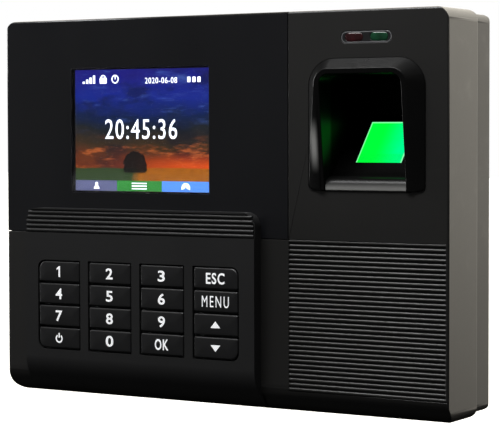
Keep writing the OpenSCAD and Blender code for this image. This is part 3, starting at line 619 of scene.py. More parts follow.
@dataclass(frozen=True)
class DisplayPicture(Finish):
    """Idle picture of the display: evening sky, low sun and open ground with one round bush."""

    strength: float = 1.0
    horizon: float = 0.19
    bush: Point = (0.45, 0.2)
    bush_size: Point = (0.088, 0.135)

    def draw(self, graph: Graph) -> None:
        """Adds sky, cloud, ground and bush as one emission colour.

        Args:
            graph: the material's empty graph.
        """
        area = lit_area()
        u = (graph.axis("X") - area.low.x) / area.size.x
        v = (graph.axis("Z") - area.low.z) / area.size.z
        drift = graph.noise(9.0, 5.0, 0.65, (0.55, 1.0, 1.4)) - 0.5
        sky = graph.node("ShaderNodeValToRGB", {"stops": [
            (0.0, srgb(176, 66, 14)), (0.26, srgb(108, 50, 22)), (0.38, srgb(56, 42, 24)),
            (0.5, srgb(26, 32, 38)), (0.62, srgb(10, 30, 74)), (0.78, srgb(18, 38, 138)),
            (1.0, srgb(28, 26, 124))]}, {0: v + drift * 0.26})
        wisps = graph.noise(5.5, 6.0, 0.68, (0.4, 1.0, 1.7)).step(0.53, 0.7)
        dark = graph.noise(13.0, 5.0, 0.6, (0.6, 1.0, 1.5)).step(0.5, 0.34)
        low_sun = v.step(self.horizon + 0.14, self.horizon) * u.step(0.2, 0.9)
        sky = graph.layers(sky, (srgb(8, 14, 30), dark * 0.6),
                           (srgb(74, 104, 178), wisps * v.step(0.45, 0.7) * 0.6),
                           (srgb(210, 110, 52), wisps * v.step(0.48, 0.3) * 0.7),
                           (srgb(236, 84, 22), low_sun * 0.75))
        tufts = graph.noise(1.1, 5.0, 0.7)
        meadow = graph.mix(srgb(30, 56, 30), srgb(62, 80, 44), tufts)
        field = graph.mix(srgb(104, 56, 8), srgb(206, 122, 24), tufts)
        ground = graph.mix(meadow, field, (u + (tufts - 0.5) * 0.1).step(0.42, 0.5))
        above = (v + drift * 0.03).step(self.horizon - 0.008, self.horizon + 0.008)
        (at_u, at_v), (wide, tall) = self.bush, self.bush_size
        reach = graph.reach((u - at_u) / wide, (v - at_v) / tall)
        bush = (reach + (tufts - 0.5) * 0.8).step(1.03, 0.95)
        bush = bush * v.step(self.horizon - 0.05, self.horizon - 0.03)
        picture = graph.layers(ground, (sky, above), (srgb(10, 12, 9), bush * 0.97))
        lit = abs(u - 0.5).step(0.5015, 0.4985) * abs(v - 0.5).step(0.502, 0.498)
        picture = graph.mix(srgb(0, 0, 0), picture, lit)
        graph.surface({"Base Color": (0.002, 0.002, 0.003), "Roughness": 0.3, "Specular IOR Level": 0.1,
                       "Emission Color": picture, "Emission Strength": self.strength})


@dataclass(frozen=True)
class PaleFloor(Finish):
    """Pale studio floor with a very faint mottle."""

    colour: Colour = (0.86, 0.86, 0.86)
    mottled: Colour = (0.9, 0.9, 0.9)
    glow: float = 0.55

    def draw(self, graph: Graph) -> None:
        """Adds the mottle to a matt Principled.

        Args:
            graph: the material's empty graph.
        """
        mottle = graph.noise(180.0, 3.0)
        graph.surface({"Base Color": graph.mix(self.colour, self.mottled, mottle),
                       "Roughness": mottle * 0.1 + 0.75, "Emission Color": (1.0, 1.0, 1.0),
                       "Emission Strength": self.glow})


def lit_area() -> Extent:
    """The active area of the display, inside its window."""
    box = Extent.of("screen_window")
    return Extent(box.low + Vector((1.0, 0.0, 0.6)), box.high - Vector((0.2, 0.0, 0.6)))


class Slot(Enum):
    """The record's material slots, one named with each new piece."""

    SHELL = "front_plastic"
    COVER = "display_cover_plastic"
    PANEL = "key_panel_plastic"
    KEY = "key_plastic"
    GUIDE = "guide_plastic"
    REAR = "rear_plastic"
    BEZEL = "light_bezel"
    RED = "red_lens"
    GREEN = "green_lens"
    DISPLAY = "lcd_glass"
    PLATE = "plate_steel"
    TIN = "tinned_steel"
    CHIP = "chip_resin"


SHELL = Moulded("shell_plastic", (0.0108, 0.0105, 0.0099), 0.40)
RIB = Moulded("rib_plastic", (0.0125, 0.0122, 0.0115), 0.34, 0.3, 0.003)
COVER = Moulded("cover_plastic", (0.0040, 0.0042, 0.0054), 0.32, 0.3, 0.004, 0.25)
PANEL = Moulded("panel_plastic", (0.0105, 0.0105, 0.0108), 0.42)
KEYCAP = Moulded("keycap_satin", (0.0085, 0.0085, 0.0090), 0.40, 0.3, 0.003, 0.3, 0.45)
GUIDE = WellPlastic("hood_satin", (0.0030, 0.0030, 0.0030), 0.30, 0.35, 0.005, 0.3, 0.15)
REAR = Moulded("rear_plastic", (0.0115, 0.0115, 0.0115), 0.5, 0.6, 0.012)
# The key legends glow a little: painted light.
LEGEND = Ink("legend_white", (0.86, 0.87, 0.88), 0.4)
SCREEN_WHITE = Ink("screen_white", (0.9, 0.92, 1.0), 0.95)
SCREW = Metal("screw_zinc", (0.56, 0.57, 0.6), 0.3, (1.0, 1.0, 1.0))
PLATE = Metal("plate_zinc", (0.24, 0.245, 0.255), 0.42, (0.06, 1.0, 1.0), 0.2)
TIN = Metal("tin", (0.62, 0.63, 0.64), 0.25)
BOARD = BoardMask("board_mask")
GOLD = Metal("contact_gold", (0.85, 0.6, 0.22), 0.22, (1.0, 1.0, 1.0))
RESIN = Moulded("resin_black", (0.014, 0.014, 0.015), 0.55, 0.25, 0.006)

NODE_FINISHES: dict[Finish, tuple[str, ...]] = {
    DisplayPicture("display_picture"): ("lcd_panel",),
    ClearWindow("window_clear"): ("screen_window",),
    LitPrism("prism_lit"): ("finger_glass",),
    Moulded("frame_plastic", (0.12, 0.13, 0.14), 0.5): ("lcd_frame",),
    Metal("flex_copper", (0.72, 0.36, 0.12), 0.35): ("lcd_flex", "keypad_flex"),
    Rubber("mat_silicone", (0.3, 0.31, 0.32)): ("keypad_mat",),
    BOARD: ("keypad_pcb", "sensor_pcb", "indicator_board", "main_pcb"),
    Moulded("inner_plastic", (0.008, 0.008, 0.009), 0.5): (
        "sensor_housing", "sensor_lens", "buzzer", "power_jack", "tamper_switch"),
    Rubber("cable_jacket", (0.035, 0.035, 0.04), 0.3, 0.01): ("sensor_cable",),
    Moulded("lamp_resin", (0.75, 0.75, 0.72), 0.3): ("indicator_leds",),
    TIN: ("processor_shield", "usb_port"),
    RESIN: ("memory_chips",),
    Metal("capacitor_can", (0.2, 0.22, 0.26), 0.3): ("board_capacitors",),
    Moulded("ivory_plastic", (0.7, 0.66, 0.55), 0.4): ("battery_holder",),
    Metal("cell_steel", (0.66, 0.67, 0.68), 0.2): ("backup_battery",),
    Moulded("relay_plastic", (0.02, 0.1, 0.34), 0.35): ("lock_relay",),
    Moulded("terminal_green", (0.03, 0.2, 0.07), 0.4): ("terminal_block",),
    Metal("jack_nickel", (0.52, 0.53, 0.55), 0.3): ("network_jack",),
    Metal("speaker_basket", (0.03, 0.03, 0.032), 0.45): ("speaker",),
    Rubber("gasket_foam", (0.03, 0.03, 0.03), 0.8, 0.12): ("speaker_gasket",),
    Moulded("plunger_red", (0.34, 0.035, 0.02), 0.35): ("tamper_plunger",),
    SCREW: ("board_screws", "small_screws", "lock_screw", "case_screws"),
}


# ---------------- meshes


def new_object(name: str, data: bpy.types.ID) -> bpy.types.Object:
    """Links a new object to the scene.

    Args:
        name: its name.
        data: its mesh, curve, lamp or camera.

    Returns:
        The new object.
    """
    made = bpy.data.objects.new(name, data)
    bpy.context.scene.collection.objects.link(made)
    return made


def evaluated_mesh(piece: bpy.types.Object) -> bpy.types.Mesh:
    """A plain mesh of an object as its modifiers leave it."""
    graph = bpy.context.evaluated_depsgraph_get()
    return bpy.data.meshes.new_from_object(piece.evaluated_get(graph))


def from_bmesh(name: str, work: bmesh.types.BMesh, smooth: float = 35.0) -> bpy.types.Object:
    """Turns a bmesh into an object, smooth where its faces meet at less than an angle.

    Args:
        name: the object's name.
        work: the bmesh, which is freed.
        smooth: the angle in degrees.

    Returns:
        The new object.
    """
    mesh = bpy.data.meshes.new(name)
    work.to_mesh(mesh)
    work.free()
    mesh.shade_smooth()
    mesh.set_sharp_from_angle(angle=math.radians(smooth))
    return new_object(name, mesh)


def add(piece: bpy.types.Object, finish: Finish, slot: Slot, body: str = ROOT, *replaced: str) -> None:
    """Dresses a piece and gives it to the frame.

    Args:
        piece: the finished object.
        finish: its finish.
        slot: the record's slot for it, which is not used.
        body: the body that it rides on.
        replaced: CAD nodes that it stands for.
    """
    if not piece.data.materials:
        piece.data.materials.append(finish.material())
    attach(piece, body)
    if replaced:
        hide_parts(*replaced)
    LOG.info("%s: %d faces on %s", piece.name, len(piece.data.polygons), body)


def lean_on_large_faces(piece: bpy.types.Object) -> None:
    """Makes the large faces lead the shading, and keeps the result as a plain mesh.

    Args:
        piece: the object, whose mesh is changed.
    """
    weigh = piece.modifiers.new("weigh", "WEIGHTED_NORMAL")
    weigh.weight = 100
    weigh.keep_sharp = True
    mesh = evaluated_mesh(piece)
    piece.modifiers.clear()
    piece.data = mesh


@dataclass(frozen=True)
class Softened:
    """A welded copy of a CAD node whose sharp outer edges are broken by a small radius.

    Edges for which keep is true stay as they are. The shading leans on the large faces.
    """

    node: str
    radius: float = 0.15
    keep: Callable[[Vector], bool] = lambda _: False

    def replace(self, finish: Finish, slot: Slot) -> None:
        """Puts the copy in the node's place.

        Args:
            finish: its finish.
            slot: the record's slot for it.
        """
        add(self.build(self.node + "_skin"), finish, slot, ROOT, self.node)

    def build(self, name: str) -> bpy.types.Object:
        """Makes the piece, and gives up the broken edges where they would leave the node's box.

        Args:
            name: the piece's name.

        Returns:
            The new object.
        """
        rounded = self._copy(name, self.radius)
        low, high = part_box(self.node)
        slack = 1e-6
        inside = all(low[i] - slack < vertex.co[i] < high[i] + slack
                     for vertex in rounded.data.vertices for i in range(3))
        if not inside:
            LOG.warning("%s: broken edges left its box", self.node)
            bpy.data.objects.remove(rounded)
            rounded = self._copy(name, 0.0)
        lean_on_large_faces(rounded)
        return rounded

    def _copy(self, name: str, radius: float) -> bpy.types.Object:
        """Welds the node's triangles and rounds its convex edges.

        Args:
            name: the copy's name.
            radius: the edge radius, or 0 for none.

        Returns:
            The new object.
        """
        work = bmesh.new()
        work.from_mesh(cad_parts[self.node].data)
        bmesh.ops.remove_doubles(work, verts=work.verts, dist=0.002 * MM)
        bmesh.ops.dissolve_degenerate(work, dist=0.001 * MM, edges=work.edges)
        bmesh.ops.dissolve_limit(work, angle_limit=math.radians(0.5), verts=work.verts,
                                 edges=work.edges)
        if radius:
            sharp = [e for e in work.edges if len(e.link_faces) == 2
                     and math.radians(40) < e.calc_face_angle_signed(0.0) < math.radians(140)
                     and not self.keep((e.verts[0].co + e.verts[1].co) / (2 * MM))]
            bmesh.ops.bevel(work, geom=sharp, offset=radius * MM, offset_type="OFFSET", segments=2,
                            profile=0.5, affect="EDGES", clamp_overlap=False)
        return from_bmesh(name, work)


def loft(name: str, stacks: Sequence[Sequence[Sequence[Triple]]], smooth: float = 35.0) -> bpy.types.Object:
    """Closed solids, each skinned through a stack of rings of equal length.

    Args:
        name: the piece's name.
        stacks: the rings of each solid, in millimetres.
        smooth: angle in degrees below which faces shade as one.

    Returns:
        The new object.
    """
    work = bmesh.new()
    for stack in stacks:
        rows = [[work.verts.new(Vector(point) * MM) for point in ring] for ring in stack]
        for one, two in zip(rows, rows[1:]):
            for i in range(len(one)):
                j = (i + 1) % len(one)
                work.faces.new((one[i], one[j], two[j], two[i]))
        work.faces.new(rows[0])
        work.faces.new(rows[-1])
    bmesh.ops.recalc_face_normals(work, faces=work.faces)
    return from_bmesh(name, work, smooth)


def flat(name: str, outlines: Sequence[Sequence[Point]], p0: float, p1: float) -> bpy.types.Object:
    """Thin plates between two depths.

    Args:
        name: the piece's name.
        outlines: closed outlines in X and Z, in millimetres.
        p0: depth of the front.
        p1: depth of the back.

    Returns:
        The new object.
    """
    return loft(name, [[[(x, FRONT + p, z) for x, z in outline] for p in (p0, p1)] for outline in outlines])


def rolled_edge(inset: float, depth: float, face: float, steps: int = 4) -> list[Point]:
    """Profile of a quarter-round edge that ends in a face.

    Args:
        inset: how far the edge reaches in.
        depth: how far it reaches back.
        face: Y of the face.
        steps: number of steps.

    Returns:
        Inset and Y of each ring.
    """
    turns = [i / steps * math.pi / 2 for i in range(steps + 1)]
    return [(inset * (1 - math.cos(turn)), face + depth * (1 - math.sin(turn))) for turn in turns]


def cushion(mid: Point, size: Point, radii: Sequence[float], profile: Sequence[Point]) -> list[list[Triple]]:
    """Rings of a rounded block that stands along Y.

    Args:
        mid: X and Z of its middle.
        size: its width and height.
        radii: its corner radii, as for round_rect.
        profile: inset and Y of each ring.

    Returns:
        The rings.
    """
    return [[(x, y, z) for x, z in round_rect(mid, size, radii, inset)] for inset, y in profile]


def plain_rect(x: float, z: float, width: float, height: float) -> list[Point]:
    """Outline of a rectangle from its lower left corner."""
    return [(x, z), (x + width, z), (x + width, z + height), (x, z + height)]


def round_rect(mid: Point, size: Point, radii: Sequence[float], inset: float = 0.0,
               steps: int = 5) -> list[Point]:
    """Outline of a rectangle with round corners.

    Args:
        mid: its middle.
        size: its width and height.
        radii: radius at the lower left, lower right, upper right and upper left.
        inset: how far the outline is drawn in.
        steps: points on each corner, less one.

    Returns:
        The outline, anticlockwise.
    """
    outline = []
    signs = ((-1, -1), (1, -1), (1, 1), (-1, 1))
    for k, (sx, sz) in enumerate(signs):
        r = max(radii[k] - inset, 0.02)
        cx = mid[0] + sx * (size[0] / 2 - inset - r)
        cz = mid[1] + sz * (size[1] / 2 - inset - r)
        start = math.pi + k * math.pi / 2
        for i in range(steps + 1):
            turn = start + i / steps * math.pi / 2
            outline.append((cx + r * math.cos(turn), cz + r * math.sin(turn)))
    return outline


def arc_band(mid: Point, radii: Point, turns: Point, steps: int = 20) -> list[Point]:
    """Outline of a bent strip.

    Args:
        mid: its middle.
        radii: its inner and outer radius.
        turns: the angles in degrees at which it starts and ends.
        steps: steps along the bend.

    Returns:
        The outline.
    """
    sweep = [math.radians(turns[0] + (turns[1] - turns[0]) * i / steps) for i in range(steps + 1)]
    ways = ((radii[1], sweep), (radii[0], sweep[::-1]))
    return [(mid[0] + r * math.cos(t), mid[1] + r * math.sin(t)) for r, way in ways for t in way]


@dataclass(frozen=True)
class Lettering:
    """Raised figures: their height, front and back depth, added stroke and spacing."""

    height: float
    p0: float
    p1: float
    weight: float = 0.03
    space: float = 1.12

    def build(self, name: str, text: str, mid: Point, span: float) -> bpy.types.Object:
        """Makes the figures as a mesh round a middle point.

        Args:
            name: the piece's name.
            text: the figures.
            mid: X and Z of their middle.
            span: width of the whole text.

        Returns:
            The new object.
        """
        curve = bpy.data.curves.new(name, "FONT")
        curve.body = text
        curve.offset = self.weight
        curve.extrude = 0.5
        curve.resolution_u = 4
        curve.space_character = self.space
        holder = new_object(name + "_text", curve)
        mesh = evaluated_mesh(holder)
        bpy.data.objects.remove(holder)
        low = Vector(min(v.co[i] for v in mesh.vertices) for i in range(3))
        high = Vector(max(v.co[i] for v in mesh.vertices) for i in range(3))
        wide, tall = span / (high.x - low.x), self.height / (high.y - low.y)
        centre = (low + high) / 2
        depth = self.p1 - self.p0
        for vertex in mesh.vertices:
            x, y, z = vertex.co - centre
            back = FRONT + (self.p0 + self.p1) / 2 - z * depth
            vertex.co = Vector((mid[0] + x * wide, back, mid[1] + y * tall)) * MM
        work = bmesh.new()
        work.from_mesh(mesh)
        bmesh.ops.remove_doubles(work, verts=work.verts, dist=0.0005 * MM)
        bmesh.ops.recalc_face_normals(work, faces=work.faces)
        return from_bmesh(name, work)


class Tree:
    """A Geometry Nodes group with named inputs, made into plain meshes."""

    def __init__(self, name: str) -> None:
        """Starts a group with a geometry input and output.

        Args:
            name: the group's name.
        """
        self.group = bpy.data.node_groups.new(name, "GeometryNodeTree")
        self.idents: dict[str, str] = {}
        for way in ("INPUT", "OUTPUT"):
            self.group.interface.new_socket("Geometry", in_out=way, socket_type="NodeSocketGeometry")
        self.source = self.group.nodes.new("NodeGroupInput")
        self.target = self.group.nodes.new("NodeGroupOutput")

    def port(self, label: str, kind: str) -> bpy.types.NodeSocket:
        """Adds a named input.

        Args:
            label: its name.
            kind: its type, such as Float, Int, Vector, Object or Material.

        Returns:
            The socket that carries it inside the group.
        """
        made = self.group.interface.new_socket(label, in_out="INPUT", socket_type="NodeSocket" + kind)
        self.idents[label] = made.identifier
        return self.source.outputs[label]

    def node(self, kind: str, settings: Options = None, values: Inputs = None,
             out: int | str = 0) -> bpy.types.NodeSocket:
        """Adds a node.

        Args:
            kind: type of the node after "GeometryNode", or the full type.
            settings: the node's options.
            values: what its inputs get.
            out: which output is returned.

        Returns:
            The chosen output.
        """
        full = kind if kind.startswith("Shader") else "GeometryNode" + kind
        return new_node(self.group, full, settings, values).outputs[out]

    def close(self, geometry: bpy.types.NodeSocket) -> "Tree":
        """Realizes the instances, sets the material and ends the group.

        Args:
            geometry: what the group makes.

        Returns:
            The tree itself.
        """
        real = self.node("RealizeInstances", None, {0: geometry})
        material = self.port("Material", "Material")
        dressed = self.node("SetMaterial", None, {"Geometry": real, "Material": material})
        self.group.links.new(dressed, self.target.inputs[0])
        return self

    def make(self, name: str, finish: Finish, values: Mapping[str, Any],
             points: Sequence[Triple] = ()) -> bpy.types.Object:
        """Runs the group once and keeps the result as a plain mesh.

        Args:
            name: the piece's name.
            finish: its finish.
            values: the group's inputs by name.
            points: points in metres that the group starts from.

        Returns:
            The new object.
        """
        seed = bpy.data.meshes.new(name)
        seed.from_pydata(points, [], [])
        made = new_object(name, seed)
        modifier = made.modifiers.new("build", "NODES")
        modifier.node_group = self.group
        for label, value in {**values, "Material": finish.material()}.items():
            modifier[self.idents[label]] = value
        mesh = evaluated_mesh(made)
        made.modifiers.clear()
        made.data = mesh
        mesh.shade_smooth()
        mesh.set_sharp_from_angle(angle=math.radians(40))
        return made


class Patterns:
    """The Geometry Nodes trees that the terminal uses."""

    @staticmethod
    def ribs() -> Tree:
        """A row of level rods: their start, count, pitch, length and radius.

        Returns:
            The finished tree.
        """
        tree = Tree("rib_row")
        start, count = tree.port("Start", "Vector"), tree.port("Count", "Int")
        pitch, length, radius = (tree.port(label, "Float") for label in ("Pitch", "Length", "Radius"))
        end = tree.node("ShaderNodeCombineXYZ", None, {"X": length})
        line = tree.node("CurvePrimitiveLine", None, {"End": end})
        ring = tree.node("CurvePrimitiveCircle", None, {"Resolution": 20, "Radius": radius})
        rod = tree.node("CurveToMesh", None, {"Curve": line, "Profile Curve": ring, "Fill Caps": True})
        step = tree.node("ShaderNodeCombineXYZ", None, {"Z": pitch})
        row = tree.node("MeshLine", {"mode": "OFFSET"},
                        {"Count": count, "Start Location": start, "Offset": step})
        return tree.close(tree.node("InstanceOnPoints", None, {"Points": row, "Instance": rod}))

    @staticmethod
    def copies() -> Tree:
        """Copies of one pattern object at the starting points.

        Returns:
            The finished tree.
        """
        tree = Tree("copies_at_points")
        pattern = tree.node("ObjectInfo", None, {"Object": tree.port("Pattern", "Object")}, "Geometry")
        points = tree.source.outputs["Geometry"]
        return tree.close(tree.node("InstanceOnPoints", None, {"Points": points, "Instance": pattern}))


@dataclass(frozen=True)
class RibRow:
    """Sizes of a row of level rods that look out of a face."""

    count: int
    radius: float
    pitch: float = 1.62

    def build(self, tree: Tree, name: str, finish: Finish, start: Triple, length: float) -> bpy.types.Object:
        """Makes the row.

        Args:
            tree: the rib tree.
            name: the piece's name.
            finish: its finish.
            start: X, Y of the faces' crest and Z of the lowest rod.
            length: length of the rods.

        Returns:
            The new object.
        """
        x, crest, z = start
        return tree.make(name, finish, {
            "Start": Vector((x, crest + self.radius, z)) * MM, "Count": self.count,
            "Pitch": self.pitch * MM, "Length": length * MM, "Radius": self.radius * MM})


# ---------------- the terminal


@dataclass
class Housing:
    """Front shell with its rib field, rear shell and wall plate."""

    ribs: RibRow = RibRow(32, 0.69)
    rib_first: float = 8.45
    seam_inset: float = 0.45
    edge: float = 0.9
    field_lap: float = 1.0
    field_depth: float = 1.5

    def build(self, tree: Tree) -> None:
        """Softens the shells and lays the ribs into their field.

        Args:
            tree: the rib tree.
        """
        shell = Extent.of("front_shell")
        cover = Extent.of("display_cover")
        first = shell.low.z + self.rib_first
        top = first + self.ribs.count * self.ribs.pitch
        left, back = cover.high.x - self.field_lap, shell.low.y + self.field_depth

        def in_field(place: Vector) -> bool:
            """Whether a point lies in the rib field."""
            return place.x > left and place.z < top and place.y < back

        Softened("front_shell", keep=in_field).replace(SHELL, Slot.SHELL)
        Softened("rear_shell", 0.2).replace(REAR, Slot.REAR)
        Softened("wall_plate").replace(PLATE, Slot.PLATE)
        start = cover.high.x + self.seam_inset
        length = shell.high.x - self.edge - start
        add(self.ribs.build(tree, "shell_ribs", RIB, (start, FRONT, first), length), RIB, Slot.SHELL)


@dataclass
class DisplayUnit:
    """Display cover and what the lit display shows.

    Places are in millimetres from the corner of the display that is named with them.
    """

    print_p0: float = 1.27
    print_p1: float = 1.37
    clock_height: float = 7.0
    clock_low_left: Point = (28.6, 22.0)
    clock_span: float = 30.8
    date_height: float = 2.1
    date_high_left: Point = (37.3, -4.1)
    date_span: float = 13.6
    signs_high_left: Point = (3.4, -4.9)
    bar_pitch: float = 1.5
    bar_width: float = 0.95
    lock_x: float = 9.0
    dial_x: float = 14.2
    day_x: float = 45.6
    day_pitch: float = 2.1
    soft: tuple[float, ...] = (0.3,) * 4
    strip_height: float = 3.7
    tab_p0: float = 1.35
    tab_p1: float = 1.38
    tab_cuts: Point = (18.2, 37.5)

    def build(self) -> None:
        """Softens the cover, then lays the figures, signs and tabs on the display."""
        Softened("display_cover").replace(COVER, Slot.COVER)
        area = lit_area()
        left, right, low, high = area.low.x, area.high.x, area.low.z, area.high.z
        (clock_x, clock_z), (date_x, date_z) = self.clock_low_left, self.date_high_left
        self._figures("clock_figures", "20:45:36", self.clock_height, (left + clock_x, low + clock_z),
                      self.clock_span)
        self._figures("date_figures", "2020-06-08", self.date_height, (left + date_x, high + date_z),
                      self.date_span)
        self._signs(left + self.signs_high_left[0], high + self.signs_high_left[1])
        self._tabs(left, right, low)

    def _figures(self, name: str, text: str, height: float, mid: Point, span: float) -> None:
        """Adds a line of figures.

        Args:
            name: the piece's name.
            text: the figures.
            height: their height.
            mid: X and Z of their middle.
            span: width of the line.
        """
        made = Lettering(height, self.print_p0, self.print_p1, 0.0).build(name, text, mid, span)
        add(made, SCREEN_WHITE, Slot.DISPLAY)

    def _shapes(self, name: str, outlines: Sequence[Sequence[Point]]) -> None:
        """Adds white shapes with the given outlines."""
        add(flat(name, outlines, self.print_p0, self.print_p1), SCREEN_WHITE, Slot.DISPLAY)

    def _signs(self, x: float, z: float) -> None:
        """Adds the signal bars, the lock, the dial and the dots of the day.

        Args:
            x: left of the first bar.
            z: foot of the bars.
        """
        bars = [plain_rect(x + i * self.bar_pitch, z, self.bar_width, 0.8 + i * 0.7) for i in range(4)]
        lock_x, dial_x, day_x = x + self.lock_x, x + self.dial_x, x + self.day_x
        lock = [round_rect((lock_x, z + 1.0), (3.0, 2.1), self.soft),
                arc_band((lock_x, z + 1.9), (0.75, 1.15), (0, 180))]
        dial = [arc_band((dial_x, z + 1.5), (1.15, 1.55), (0, 360), 28),
                plain_rect(dial_x - 0.15, z + 1.4, 0.35, 1.2)]
        day = [round_rect((day_x + i * self.day_pitch, z + 0.95), (1.3, 1.9), self.soft) for i in range(3)]
        self._shapes("display_signs", bars + lock + dial + day)

    def _tabs(self, left: float, right: float, low: float) -> None:
        """Adds the three soft-key tabs with their signs.

        Args:
            left: X of the display's left edge.
            right: X of its right edge.
            low: Z of its lower edge.
        """
        cuts = (left, *(left + cut for cut in self.tab_cuts), right)
        tints = {"tab_grey": srgb(70, 74, 108), "tab_green": srgb(18, 108, 30),
                 "tab_blue": srgb(62, 118, 205)}
        z = low + self.strip_height / 2
        for (name, tint), a, b in zip(tints.items(), cuts, cuts[1:]):
            tab = round_rect(((a + b) / 2, z), (b - a, self.strip_height), (0.1,) * 4)
            add(flat(name, [tab], self.tab_p0, self.tab_p1), Ink(name, tint, 0.95), Slot.DISPLAY)
        one, two, three = ((a + b) / 2 for a, b in zip(cuts, cuts[1:]))
        person = [arc_band((one + 0.2, z + 0.65), (0.0, 0.62), (0, 360), 16),
                  arc_band((one + 0.2, z - 1.15), (0.0, 1.25), (0, 180), 12)]
        rows = [round_rect((two, z + i * 0.95), (6.4, 0.42), (0.1,) * 4) for i in (-1, 0, 1)]
        loops = [arc_band((three, z - 0.5), (r - 0.16, r + 0.16), (-20, 200)) for r in (0.55, 1.1, 1.65)]
        self._shapes("tab_signs", person + rows + loops)


class Mark(Enum):
    """The key marks that are drawn; the others are set in type."""

    ONE = "1"
    UP = "up"
    DOWN = "down"
    POWER = "power"


@dataclass
class KeyPanel:
    """Raised key panel with its ribs and sixteen crowned keys.

    Ear and trim are how much narrower and lower a cap is than its key's box, on each side.
    """

    ribs: RibRow = RibRow(5, 0.68)
    rib_drop: float = 1.6
    rib_inset: float = 1.1
    band_depth: float = 1.2
    rise: float = 4.5
    ear: float = 1.58
    trim: float = 0.06
    edge: float = 0.55
    crown: float = 0.12
    corner: float = 2.65
    small_corner: float = 0.5
    legend_height: float = 3.9
    mark_up: float = 0.02
    mark_down: float = 0.12

    KEYS = (("1", "2", "3", "esc"), ("4", "5", "6", "menu"), ("7", "8", "9", "up"),
            ("power", "0", "ok", "down"))
    SPANS = {"menu": 11.0, "esc": 7.5, "ok": 5.7, "0": 3.3}
    DIGIT_SPAN = 2.95

    def build(self, tree: Tree) -> None:
        """Softens the panel, adds its ribs and makes every key.

        Args:
            tree: the rib tree.
        """
        panel = Extent.of("keypad_cover")
        row, crest = self.ribs, panel.high.z - self.rib_drop
        band, back = crest - row.count * row.pitch, panel.low.y + self.band_depth

        def in_band(place: Vector) -> bool:
            """Whether a point lies in the ribbed band."""
            return place.z > band and place.y < back and panel.low.x + 1 < place.x < panel.high.x - 1

        Softened("keypad_cover", 0.2, in_band).replace(PANEL, Slot.PANEL)
        start = (panel.low.x + self.rib_inset, FRONT - self.rise, crest - (row.count - 1) * row.pitch)
        made = row.build(tree, "panel_ribs", PANEL, start, panel.size.x - 2 * self.rib_inset)
        add(made, PANEL, Slot.PANEL)
        for r, names in enumerate(self.KEYS):
            for c, name in enumerate(names):
                self._key(name, c, r)

    def _key(self, name: str, column: int, row: int) -> None:
        """Makes one key: a cap with rolled edges and a slight crown, and its mark.

        Args:
            name: the key's name after "key_".
            column: its column from the left.
            row: its row from the top.
        """
        node = "key_" + name
        box = Extent.of(node)
        mid = (box.mid.x, box.mid.z)
        size = (box.size.x - 2 * self.ear, box.size.z - 2 * self.trim)
        rows, columns = (len(self.KEYS) - 1, 0), (0, len(self.KEYS[0]) - 1)
        corners = ((rows[0], columns[0]), (rows[0], columns[1]), (rows[1], columns[1]), (rows[1], columns[0]))
        radii = [self.corner if (row, column) == corner else self.small_corner for corner in corners]
        face = box.low.y + self.crown
        rings = [(0.0, box.high.y), *rolled_edge(self.edge, self.edge, face)]
        for share in (0.35, 0.7, 0.97):
            inset = self.edge + share * (size[1] / 2 - self.edge)
            rings.append((inset, face - self.crown * math.sin(share * math.pi / 2)))
        cap = loft(node + "_cap", [cushion(mid, size, radii, rings)])
        lean_on_large_faces(cap)
        add(cap, KEYCAP, Slot.KEY, node, node)
        self._mark(name, node, mid, box.low.y - FRONT)

    def _mark(self, name: str, node: str, mid: Point, p: float) -> None:
        """Prints the mark of one key.

        Args:
            name: the key's name after "key_".
            node: its body.
            mid: X and Z of its middle.
            p: depth of its highest point.
        """
        title, p0, p1 = node + "_mark", p - self.mark_up, p + self.mark_down
        if name in (mark.value for mark in Mark):
            made = flat(title, self._drawn(Mark(name), *mid), p0, p1)
        else:
            weight, space = (0.0, 1.3) if name == "menu" else (0.02, 1.15)
            figures = Lettering(self.legend_height, p0, p1, weight, space)
            made = figures.build(title, name.upper(), mid, self.SPANS.get(name, self.DIGIT_SPAN))
        add(made, LEGEND, Slot.KEY, node)

    def _drawn(self, mark: Mark, x: float, z: float) -> list[list[Point]]:
        """Outlines of a drawn mark.

        Args:
            mark: which mark.
            x: X of the key's middle.
            z: Z of the key's middle.

        Returns:
            The outlines.
        """
        if mark is Mark.ONE:
            h = self.legend_height / 2
            one = [(-0.1, -h), (0.6, -h), (0.6, h), (0.05, h), (-0.95, h - 0.75), (-0.95, h - 1.4),
                   (-0.1, h - 0.9)]
            return [[(x + a, z + b) for a, b in one]]
        if mark is Mark.POWER:
            return [arc_band((x, z - 0.2), (1.0, 1.58), (125, 415)),
                    round_rect((x, z + 0.95), (0.58, 1.7), (0.2,) * 4)]
        way = 1 if mark is Mark.UP else -1
        return [[(x - 2, z - way * 1.05), (x + 2, z - way * 1.05), (x, z + way * 1.25)]]


@dataclass
class FingerWell:
    """Hood and shaft of the finger well."""

    edge: float = 0.3

    def build(self) -> None:
        """Softens the guide."""
        Softened("finger_guide", self.edge).replace(GUIDE, Slot.GUIDE)


@dataclass
class StatusLights:
    """Bezel and the two lenses above the well."""

    edge: float = 0.12
    dome: float = 0.25
    red: Colour = srgb(48, 10, 15)
    green: Colour = srgb(12, 62, 38)

    def build(self) -> None:
        """Softens the bezel and makes the lenses as shallow domes."""
        Softened("led_bezel", self.edge).replace(RimmedBezel("bezel_plastic"), Slot.BEZEL)
        lenses = (("led_lens_red", Slot.RED, self.red), ("led_lens_green", Slot.GREEN, self.green))
        for node, slot, tint in lenses:
            box = Extent.of(node)
            half = box.size.z / 2
            rings = [(0.0, box.high.y), *rolled_edge(half - 0.1, self.dome, box.low.y)]
            stack = cushion((box.mid.x, box.mid.z), (box.size.x, box.size.z), (half - 0.05,) * 4, rings)
            add(loft(node + "_dome", [stack], 60), TintedLens(node + "_plastic", tint), slot, ROOT, node)


